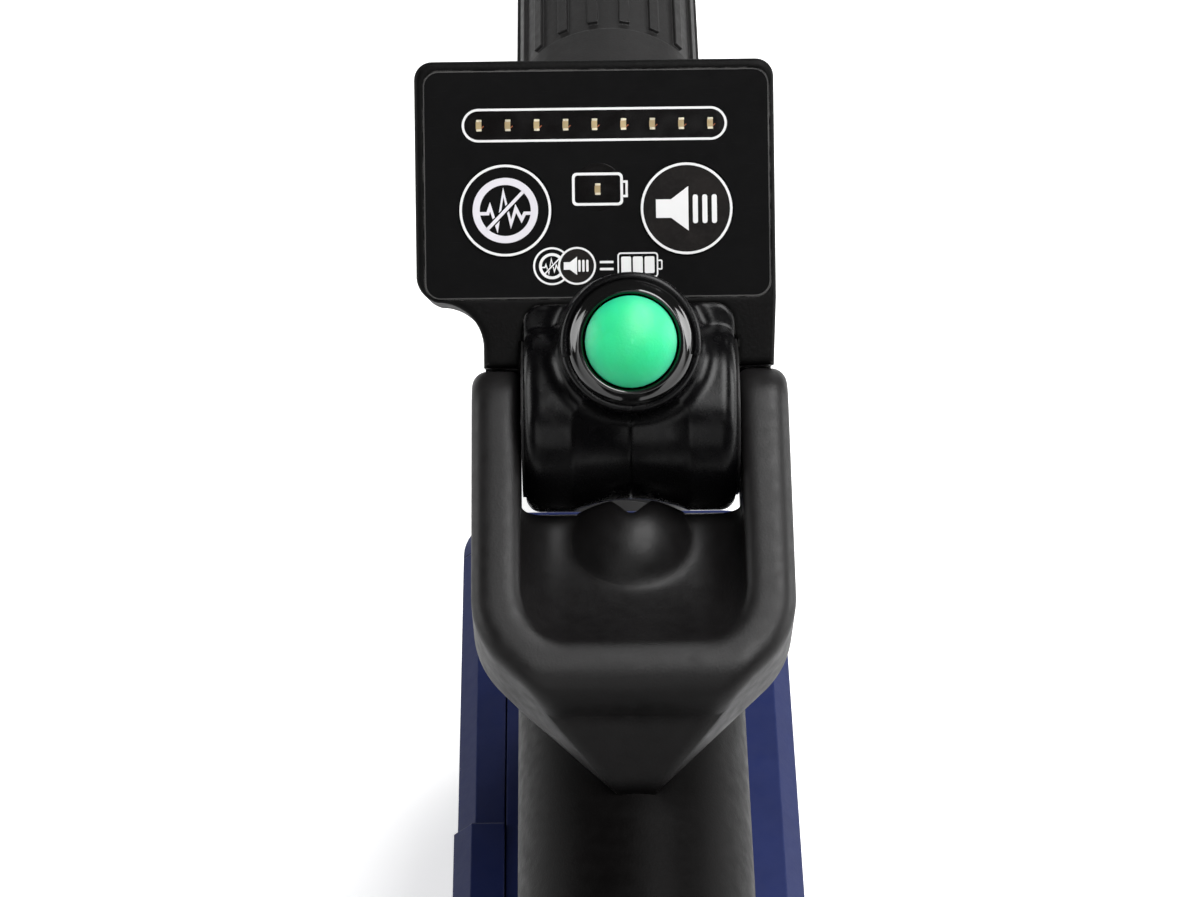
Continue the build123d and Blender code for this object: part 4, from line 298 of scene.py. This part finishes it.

# surfaces of printed and very small pieces
PRINT = shade("print_white", color=(0.82, 0.82, 0.82), rough=0.5, grain=2600, bump=0.008,
              mottle=0.04, edge=0.03)
PRINT_COOL = shade("print_cool", color=(0.74, 0.72, 0.77), rough=0.5, grain=2600, bump=0.008,
                   mottle=0.05, edge=0.03)
PRINT_BLACK = shade("print_black", color=(0.0072, 0.0058, 0.0052), rough=0.5, grain=1200,
                    bump=0.012, mottle=0.6, gleam=0.12, edge=0.03)
# a painted highlight for the raised rim round the label
RIM_HIGHLIGHT = shade("rim_highlight", color=(0.028, 0.027, 0.026), rough=0.45, grain=2600, bump=0.03,
                  mottle=0.8, edge=0.03)
LAMP_END = shade("lamp_end", color=(0.74, 0.68, 0.52), rough=0.28, grain=1600, bump=0.02,
                 mottle=0.2, edge=0.05, metal=0.3)
LAMP_GLINT = shade("lamp_glint", color=(0.30, 0.07, 0.015), rough=0.3, grain=1600, bump=0.02,
                   mottle=0.2, edge=0.05)

for part in frame["record"]["subparts"]:
    node = nodes[part["node"]]
    node.data.materials.clear()
    node.data.materials.append(SLOTS[part["material_slot"]])


# ---------------------------------------------------------------- building pieces
def piece(name, mesh, body, slot, material=None):
    """A mesh already in place becomes a piece that rides a body."""
    made = bpy.data.objects.new(name, mesh)
    scene.collection.objects.link(made)
    mesh.materials.append(material or SLOTS[slot])
    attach(made, body)
    return made


def smooth_mesh(name, work):
    """The finished mesh of a bmesh, with its faces turned outward."""
    bmesh.ops.recalc_face_normals(work, faces=work.faces)
    mesh = bpy.data.meshes.new(name)
    work.to_mesh(mesh)
    work.free()
    mesh.polygons.foreach_set("use_smooth", [True] * len(mesh.polygons))
    return mesh


def joined(meshes):
    """One mesh from several."""
    whole = bmesh.new()
    for mesh in meshes:
        whole.from_mesh(mesh)
        bpy.data.meshes.remove(mesh)
    result = bpy.data.meshes.new("joined")
    whole.to_mesh(result)
    whole.free()
    return result


def plate(shapes, low, high):
    """Flat shapes, each an outline and its holes, as plates between two heights over the pod."""
    meshes = []
    for loops in shapes:
        curve = bpy.data.curves.new("plate", "CURVE")
        curve.dimensions = "2D"
        curve.fill_mode = "BOTH"
        curve.extrude = (high - low) / 2
        for loop in loops:
            spline = curve.splines.new("POLY")
            spline.points.add(len(loop) - 1)
            for point, (x, y) in zip(spline.points, loop):
                point.co = (x, y, 0, 1)
            spline.use_cyclic_u = True
        holder = bpy.data.objects.new("plate", curve)
        mesh = bpy.data.meshes.new_from_object(holder)
        bpy.data.objects.remove(holder)
        bpy.data.curves.remove(curve)
        mesh.transform(POD @ Matrix.Translation((0, 0, (low + high) / 2)))
        meshes.append(mesh)
    return joined(meshes)


def printed(name, shapes, low, high, body="pod", material=PRINT, slot="label_black"):
    piece(name, plate(shapes, low, high), body, slot, material)


# ---------------------------------------------------------------- flat outlines
DISC_STEPS = 64
CORNER_STEPS = 6
SHARPEST_MITRE = 0.35


def on_circle(x, y, radius, turn):
    return x + radius * math.cos(turn), y + radius * math.sin(turn)


def disc(x, y, radius):
    return [on_circle(x, y, radius, 2 * math.pi * i / DISC_STEPS) for i in range(DISC_STEPS)]


def ring(x, y, outer, width):
    return [disc(x, y, outer), disc(x, y, outer - width)]


def box(x, y, width, height, corner, steps=CORNER_STEPS):
    """Rounded rectangle about its centre."""
    points = []
    for quarter, (side_x, side_y) in enumerate(((1, 1), (-1, 1), (-1, -1), (1, -1))):
        centre_x = x + side_x * (width / 2 - corner)
        centre_y = y + side_y * (height / 2 - corner)
        for step in range(steps + 1):
            turn = math.pi / 2 * (quarter + step / steps)
            points.append(on_circle(centre_x, centre_y, corner, turn))
    return points


def box_line(x, y, width, height, line, corner, inner_corner, steps=CORNER_STEPS):
    """A line of even width inside the edge of a rounded rectangle."""
    return [box(x, y, width, height, corner, steps),
            box(x, y, width - 2 * line, height - 2 * line, inner_corner, steps)]


def stroke(points, width):
    """Outline of a line of even width through the points, with mitred corners."""
    left, right = [], []
    for index, (x, y) in enumerate(points):
        ahead = Vector(points[min(index + 1, len(points) - 1)]) - Vector((x, y))
        behind = Vector((x, y)) - Vector(points[max(index - 1, 0)])
        ahead = ahead.normalized() if ahead.length else behind.normalized()
        behind = behind.normalized() if behind.length else ahead
        tangent = (ahead + behind).normalized()
        reach = width / 2 / max(SHARPEST_MITRE, tangent.dot(ahead))
        left.append((x - tangent.y * reach, y + tangent.x * reach))
        right.append((x + tangent.y * reach, y - tangent.x * reach))
    return left + right[::-1]


def sized(outline, x, y, size):
    """An outline drawn about (0, 0), brought to its place and size."""
    return [(x + size * u, y + size * v) for u, v in outline]


# ---------------------------------------------------------------- symbols
# heights over the pod's face, and thicknesses of the printing
LABEL_TOP = 0.1
KEY_TOP = 0.35
INK = 0.03
LAYER = 0.01
INK_TOP = LABEL_TOP + INK
KEY_INK_TOP = KEY_TOP + INK

# the noise symbol at a scale of 1: its pulse is flat, swings up and down and is flat again
PULSE = ((-4.24, -0.49), (-2.93, -0.49), (-2.54, 0.65), (-1.36, -3.0), (-0.31, 3.05),
         (0.92, -2.3), (1.74, 0.35), (2.7, -1.55), (3.24, -0.49), (4.24, -0.49))
SYMBOL_LINE = 0.56
SYMBOL_RADIUS, SYMBOL_BAND = 5.45, 1.2
SLASH_ANGLE = math.radians(46)
SLASH_REACH = 4.4
GAP_REACH, GAP_WIDTH = 4.2, 1.0

# a loudspeaker seen from the side, opening to the right
SPEAKER = ((-0.55, 0.3), (-0.06, 0.3), (0.5, 0.72), (0.5, -0.72), (-0.06, -0.3), (-0.55, -0.3))
WAVE_COUNT = 3
WAVE_CORNER = 0.45


def slash(x, y, reach, width):
    ends = (on_circle(x, y, reach, SLASH_ANGLE + math.pi), on_circle(x, y, reach, SLASH_ANGLE))
    return stroke(ends, width)


def sound_waves(x, y, pitch, width, height):
    return [[box(x + pitch * i, y, width, height, WAVE_CORNER * width)] for i in range(WAVE_COUNT)]


def noise_symbol(name, x, y, scale, low, body, ink):
    """A pulse struck through in a ring; a dark band keeps the slash clear of the pulse."""
    line = SYMBOL_LINE * scale
    high = low + INK
    pulse = [stroke(sized(PULSE, x, y, scale), line)]
    printed(f"{name}_pulse", [pulse], low, high, body, ink)
    gap = [slash(x, y, GAP_REACH * scale, GAP_WIDTH * scale)]
    printed(f"{name}_gap", [gap], high, high + LAYER, body, SLOTS["label_black"])
    band = ring(x, y, SYMBOL_RADIUS * scale, SYMBOL_BAND * scale)
    strike = [slash(x, y, SLASH_REACH * scale, line)]
    for number, shape in enumerate((band, strike)):
        printed(f"{name}_ring_{number}", [shape], low + LAYER * (1 + number), high + 2 * LAYER,
                body, ink)


# ---------------------------------------------------------------- printing on the pod
LAMP_U, LAMP_V, LAMP_PITCH, LAMP_COUNT = -5.3, 49.0, 4.82, 9
BATTERY_U, BATTERY_V = -4.9, 38.2
NOISE_U, VOLUME_U, KEY_V = -20.3, 9.9, 34.8
KEY_EDGE_RADIUS, KEY_EDGE_WIDTH = 7.65, 0.42
LABEL_U, LABEL_V = -5.0, 39.1


def lamp_windows():
    """The frame round the row of lamps, and a battery round its own lamp."""
    lens_radius, lens_u, lens_v = 4.0, BATTERY_U + 0.1, BATTERY_V + 0.4
    printed("battery_lens", [[disc(lens_u, lens_v, lens_radius)]], LABEL_TOP - LAYER,
            LABEL_TOP + LAYER, material=None, slot="window_smoke")

    bar = box_line(LAMP_U, LAMP_V, width=44.2, height=5.6, line=0.4, corner=2.8, inner_corner=2.4,
                   steps=16)
    printed("print_lamp_bar", [bar], LABEL_TOP, INK_TOP)

    case = box_line(BATTERY_U, BATTERY_V, width=8.5, height=5.5, line=0.45, corner=0.8,
                    inner_corner=0.5)
    nub_start, nub_end, nub_half, nub_line = BATTERY_U + 4.1, BATTERY_U + 4.85, 1.2, 0.4
    nub_path = [(nub_start, BATTERY_V + nub_half), (nub_end, BATTERY_V + nub_half),
                (nub_end, BATTERY_V - nub_half), (nub_start, BATTERY_V - nub_half)]
    printed("print_battery", [case, [stroke(nub_path, nub_line)]], LABEL_TOP, INK_TOP)


def key_edge(name, x, body):
    edge = ring(x, KEY_V, KEY_EDGE_RADIUS, KEY_EDGE_WIDTH)
    printed(name, [edge], KEY_TOP, KEY_INK_TOP, body)


def noise_key():
    """The left key silences noise."""
    key_edge("print_noise_edge", NOISE_U, "noise_key")
    noise_symbol("print_noise", NOISE_U, KEY_V, 1.0, KEY_TOP, "noise_key", PRINT_COOL)


def volume_key():
    """The right key: a speaker and its waves on a dark disc."""
    disc_radius = 7.3
    printed("print_volume_disc", [[disc(VOLUME_U, KEY_V, disc_radius)]], KEY_TOP, KEY_TOP + LAYER,
            "volume_key", PRINT_BLACK)
    key_edge("print_volume_edge", VOLUME_U, "volume_key")
    speaker_u, speaker_size = VOLUME_U - 2.27, 5.15
    waves_u, waves_v = VOLUME_U + 1.46, KEY_V - 0.1
    speaker = [sized(SPEAKER, speaker_u, KEY_V, speaker_size)]
    waves = sound_waves(waves_u, waves_v, pitch=1.58, width=0.85, height=4.8)
    printed("print_volume_symbol", [speaker, *waves], KEY_TOP + LAYER, KEY_INK_TOP + LAYER,
            "volume_key")


def legend():
    """Both keys together show the battery's state: two small keys, an equals sign, a battery."""
    v = 25.45
    noise_u, volume_u, key_radius, key_line, noise_scale = -12.63, -8.47, 3.16, 0.33, 0.4
    speaker_u, speaker_size, waves_u = volume_u - 1.05, 2.12, volume_u + 0.4
    equals_u, equals_rise = -3.53, 0.58
    battery_u, battery_v, cell_pitch = 1.67, v + 0.05, 1.95
    tip_u, tip_hole_u = battery_u + 3.73, battery_u + 3.63

    printed("print_legend_left", [ring(noise_u, v, key_radius, key_line)], LABEL_TOP, INK_TOP)
    noise_symbol("print_legend_noise", noise_u, v, noise_scale, LABEL_TOP, "pod", PRINT)

    over = INK_TOP + 3 * LAYER
    printed("print_legend_disc", [[disc(volume_u, v, key_radius)]], over, over + LAYER,
            material=PRINT_BLACK)
    edge = ring(volume_u, v, key_radius, key_line)
    speaker = [sized(SPEAKER, speaker_u, v, speaker_size)]
    waves = sound_waves(waves_u, v, pitch=0.66, width=0.4, height=2.0)
    printed("print_legend_right", [edge, speaker, *waves], over + LAYER, over + 2 * LAYER)

    equals = [[box(equals_u, v + side * equals_rise, width=2.3, height=0.4, corner=0.12)]
              for side in (-1, 1)]
    case = box_line(battery_u, battery_v, width=6.8, height=4.2, line=0.25, corner=0.6,
                    inner_corner=0.4)
    cells = [[box(battery_u + cell_pitch * i, battery_v, width=1.65, height=2.8, corner=0.25)]
             for i in (-1, 0, 1)]
    tip = [box(tip_u, battery_v, width=0.75, height=1.7, corner=0.25),
           box(tip_hole_u, battery_v, width=0.5, height=1.2, corner=0.1)]
    printed("print_legend_battery", [*equals, case, *cells, tip], LABEL_TOP, INK_TOP)


def lamps():
    """The small lamps in the windows, each with plated ends and a painted orange glint."""
    spots = [(LAMP_U + LAMP_PITCH * (i - (LAMP_COUNT - 1) / 2), LAMP_V) for i in range(LAMP_COUNT)]
    spots.append((BATTERY_U, BATTERY_V))
    end_shift, end_reach = 0.05, 0.78
    glint_left, glint_right, glint_low, glint_high = 0.15, 0.85, -0.75, -0.1
    low = LABEL_TOP + LAYER
    bodies = [[box(u, v, width=0.95, height=1.2, corner=0.08)] for u, v in spots]
    ends = [[box(u + end_shift, v + side * end_reach, width=0.9, height=0.36, corner=0.1)]
            for u, v in spots for side in (-1, 1)]
    # painted glints: an orange stroke across each lamp stands in for a reflection of light
    glints = [[stroke([(u + glint_left, v + glint_low), (u + glint_right, v + glint_high)],
                      width=0.16)]
              for u, v in spots[:-1]]
    printed("lamp_bodies", bodies, low, low + 4 * LAYER, material=None, slot="lamp_amber")
    printed("lamp_ends", ends, low, low + 5 * LAYER, material=LAMP_END, slot="lamp_amber")
    printed("lamp_painted_glints", glints, low + 2 * LAYER, low + 3 * LAYER, material=LAMP_GLINT,
            slot="lamp_amber")


def label_rim():
    """The raised line round the label, its patchy light grey a painted highlight where the edge
    catches light.
    """
    foot, rise = 0.05, 0.04
    rim = box_line(LABEL_U, LABEL_V, width=57.6, height=38.0, line=0.2, corner=2.6,
                   inner_corner=2.4, steps=8)
    printed("label_rim", [rim], LABEL_TOP - foot, LABEL_TOP + rise, material=RIM_HIGHLIGHT)


# ---------------------------------------------------------------- button surround
BUTTON = (0.0, 12.0)  # where its axis meets the pod's face
FULL_TURN = 360.0

# (radius, height) points: the bore, the fine lip, the cone and the foot
BEZEL_PROFILE = (
    (7.75, 18.7), (7.75, 23.2), (7.9, 23.55), (8.25, 23.68), (8.55, 23.45), (8.65, 23.15),
    (9.4, 22.75), (10.0, 22.1), (10.15, 21.6), (10.15, 18.7),
)
BEZEL_STEPS = 96
ARCH_RADIUS, ARCH_HEIGHT, ARCH_SIZE = 10.6, 21.5, 0.65
ARCH_START, ARCH_SWEEP, ARCH_STEPS = -12.0, 204.0, 72
ARCH_SECTION_STEPS = 10


def lathe(name, profile, steps, start=0.0, sweep=FULL_TURN):
    """A closed profile of (radius, height) points, swept in degrees about the button's axis."""
    work = bmesh.new()
    count = steps if sweep == FULL_TURN else steps + 1
    rows = []
    for i in range(count):
        turn = math.radians(start + sweep * i / steps)
        rows.append([work.verts.new(POD @ Vector((*on_circle(*BUTTON, radius, turn), height)))
                     for radius, height in profile])
    for i in range(steps):
        here, after = rows[i], rows[(i + 1) % count]
        for j in range(len(profile)):
            k = (j + 1) % len(profile)
            work.faces.new([here[j], after[j], after[k], here[k]])
    if count > steps:
        work.faces.new(rows[0])
        work.faces.new(rows[-1][::-1])
    return smooth_mesh(name, work)


def button_surround():
    """The glossy bezel, a cone with a fine lip, and the arch over the button's upper half."""
    mesh = lathe("bezel_ring", BEZEL_PROFILE, BEZEL_STEPS)
    bezel = piece("bezel_ring", mesh, "pod", "bezel_gloss")
    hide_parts("button_bezel")
    section = [on_circle(ARCH_RADIUS, ARCH_HEIGHT, ARCH_SIZE, 2 * math.pi * i / ARCH_SECTION_STEPS)
               for i in range(ARCH_SECTION_STEPS)]
    mesh = lathe("collar_arch", section, ARCH_STEPS, ARCH_START, ARCH_SWEEP)
    piece("collar_arch", mesh, "pod", "head_black")


button_surround()
lamp_windows()
noise_key()
volume_key()
legend()
lamps()
label_rim()


# ---------------------------------------------------------------- arm cuff cushion
# the cuff is a half round about an axis above the rear tube, along which it runs
CUFF_AXIS = 75.5
CUFF_START, CUFF_END = 168.5, 251.5
CUFF_LENGTH = CUFF_END - CUFF_START
CUSHION_INNER, CUSHION_OUTER = 45.2, 49.9
CUSHION_LEAST = 0.25
CUSHION_SPARE = 0.3  # room left inside for the wrinkles
CUSHION_ROUNDING = 3.2
STEPS_AROUND, STEPS_ALONG = 72, 64

# channels run round the cushion at the middle of each of its fifths; of the two next to the
# ends, only the inner flanks are kept
CHANNEL_REPEATS = 5
CHANNEL_DEPTH, CHANNEL_WIDTH = 0.55, 0.1
CHANNELS_FROM, CHANNELS_TO = 0.12, 0.88

# (height, waves around, waves along), in radians over the whole cushion
WRINKLES = ((0.12, 9 * math.pi, 3.0), (0.1, 5.0, 31.0))


def cushion_depth(around, along):
    """Thickness of the foam at a place given as shares of the way around and along the cuff."""
    to_side = min(around, 1 - around) * math.pi * CUSHION_INNER
    to_end = min(along, 1 - along) * CUFF_LENGTH
    inward = min(1.0, min(to_side, to_end) / CUSHION_ROUNDING)
    swell = math.sqrt(max(0.0, 1 - (1 - inward) ** 2))
    channel = 0.0
    if CHANNELS_FROM < along < CHANNELS_TO:
        off_centre = (along * CHANNEL_REPEATS) % 1 - 0.5
        channel = CHANNEL_DEPTH * math.exp(-(off_centre / CHANNEL_WIDTH) ** 2)
    wrinkle = sum(height * math.sin(waves_around * around + waves_along * along)
                  for height, waves_around, waves_along in WRINKLES)
    full = CUSHION_OUTER - CUSHION_INNER - CUSHION_SPARE
    return CUSHION_LEAST + max(0.0, swell * (full * (1 - channel) + wrinkle))


def cushion_layer(work, is_front):
    """A grid of points over the cushion's back, which lies on the cuff, or over its front."""
    grid = []
    for i in range(STEPS_AROUND + 1):
        around = i / STEPS_AROUND
        angle = math.pi * (1 + around)
        row = []
        for j in range(STEPS_ALONG + 1):
            along = j / STEPS_ALONG
            radius = CUSHION_OUTER - (cushion_depth(around, along) if is_front else 0.0)
            x, y = on_circle(0.0, CUFF_AXIS, radius, angle)
            row.append(work.verts.new(REAR @ Vector((x, y, CUFF_START + along * CUFF_LENGTH))))
        grid.append(row)
    return grid


def cuff_cushion():
    """A foam pad that follows the cuff, crossed by channels and rounded at its edges."""
    work = bmesh.new()
    back, front = cushion_layer(work, False), cushion_layer(work, True)
    for grid, turned_over in ((back, True), (front, False)):
        for i in range(STEPS_AROUND):
            for j in range(STEPS_ALONG):
                corners = [grid[i][j], grid[i + 1][j], grid[i + 1][j + 1], grid[i][j + 1]]
                work.faces.new(corners[::-1] if turned_over else corners)
    rim = [(i, 0) for i in range(STEPS_AROUND)]
    rim += [(STEPS_AROUND, j) for j in range(STEPS_ALONG)]
    rim += [(i, STEPS_ALONG) for i in range(STEPS_AROUND, 0, -1)]
    rim += [(0, j) for j in range(STEPS_ALONG, 0, -1)]
    for (a, b), (c, d) in zip(rim, rim[1:] + rim[:1]):
        work.faces.new([back[a][b], back[c][d], front[c][d], front[a][b]])
    made = piece("cuff_cushion", smooth_mesh("cuff_cushion", work), "root", "pad_foam")
    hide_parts("cuff_pad")


cuff_cushion()


# ---------------------------------------------------------------- floor, light and camera
FLOOR_COLOR = (0.92, 0.92, 0.92, 1.0)
FLOOR_ROUGHNESS = 0.9
FLOOR_SIZE = 12.0
FLOOR_HEIGHT = -0.0002  # clear of the part's underside
# the floor's own glow rises from the first strength to the second over these distances
FLOOR_GLOW = (0.55, 1.0)
FLOOR_DISTANCES = (1.0, 1.9)
WORLD_COLOR = (1.0, 1.0, 1.0, 1.0)
WORLD_FILL = 0.04
WORLD_GLOW = 1.0

LENS_LENGTH, SENSOR_WIDTH = 102.0, 36.0
CAMERA_PLACE = (-0.0082, -0.3547, 0.5907)
CAMERA_AIM = (0.0056, 0.7071, -0.7071)
CAMERA_ROLL = math.radians(-0.4)
CLIP_START, CLIP_END = 0.01, 50.0


def with_glow(tree, surface, strength, output):
    """A surface with emission that only the camera sees, so that it casts no light of its own."""
    paths = added(tree, "ShaderNodeLightPath", {})
    share = added(tree, "ShaderNodeMath", {0: paths.outputs["Is Camera Ray"], 1: strength},
                  "MULTIPLY")
    glow = added(tree, "ShaderNodeEmission", {"Strength": share.outputs[0]})
    both = added(tree, "ShaderNodeAddShader", {0: surface, 1: glow.outputs["Emission"]})
    connect(tree, tree.nodes[output], {"Surface": both.outputs["Shader"]})


def floor():
    material = bpy.data.materials.new("floor_white")
    material.use_nodes = True
    tree = material.node_tree
    principled = tree.nodes["Principled BSDF"]
    connect(tree, principled, {"Base Color": FLOOR_COLOR, "Roughness": FLOOR_ROUGHNESS})
    place = added(tree, "ShaderNodeTexCoord", {})
    distance = added(tree, "ShaderNodeVectorMath", {0: place.outputs["Object"]}, "LENGTH")
    strength = ranged(tree, distance.outputs["Value"], *FLOOR_GLOW, FLOOR_DISTANCES)
    with_glow(tree, principled.outputs["BSDF"], strength, "Material Output")
    bpy.ops.mesh.primitive_plane_add(size=FLOOR_SIZE, location=(0, 0, FLOOR_HEIGHT))
    ground = bpy.context.active_object
    ground.name = "floor"
    ground.data.materials.append(material)


def world():
    scene.world = bpy.data.worlds.new("studio")
    scene.world.use_nodes = True
    tree = scene.world.node_tree
    background = tree.nodes["Background"]
    connect(tree, background, {"Color": WORLD_COLOR, "Strength": WORLD_FILL})
    with_glow(tree, background.outputs["Background"], WORLD_GLOW, "World Output")


def softbox(name, place, target, width, height, power):
    light = bpy.data.lights.new(name, "AREA")
    light.shape = "RECTANGLE"
    light.size, light.size_y = width, height
    light.energy = power
    made = bpy.data.objects.new(name, light)
    scene.collection.objects.link(made)
    made.location = place
    made.rotation_euler = (Vector(target) - Vector(place)).to_track_quat("-Z", "Y").to_euler()


def camera():
    lens = bpy.data.cameras.new("camera")
    lens.lens = LENS_LENGTH
    lens.sensor_width = SENSOR_WIDTH
    lens.clip_start = CLIP_START
    lens.clip_end = CLIP_END
    made = bpy.data.objects.new("camera", lens)
    scene.collection.objects.link(made)
    made.location = CAMERA_PLACE
    made.rotation_mode = "QUATERNION"
    aim = Vector(CAMERA_AIM).to_track_quat("-Z", "Y")
    made.rotation_quaternion = aim @ Matrix.Rotation(CAMERA_ROLL, 3, "Z").to_quaternion()
    scene.camera = made


floor()
world()
softbox("top_softbox", place=(0.42, 0.0, 1.45), target=(0, 0.05, 0.18), width=1.6, height=0.55,
        power=26.0)
softbox("front_softbox", place=(0.0, 1.8, 0.55), target=(0, 0.05, 0.2), width=2.0, height=0.6,
        power=5.0)
softbox("left_softbox", place=(-1.2, 0.25, 0.45), target=(0, 0.05, 0.18), width=0.9, height=0.6,
        power=6.5)
softbox("right_softbox", place=(1.2, 0.25, 0.45), target=(0, 0.05, 0.16), width=0.9, height=0.6,
        power=10.0)
softbox("rear_softbox", place=(-0.4, -1.5, 0.9), target=(0, 0.05, 0.2), width=1.2, height=0.8,
        power=4.0)
camera()
scene.view_settings.view_transform = "Standard"
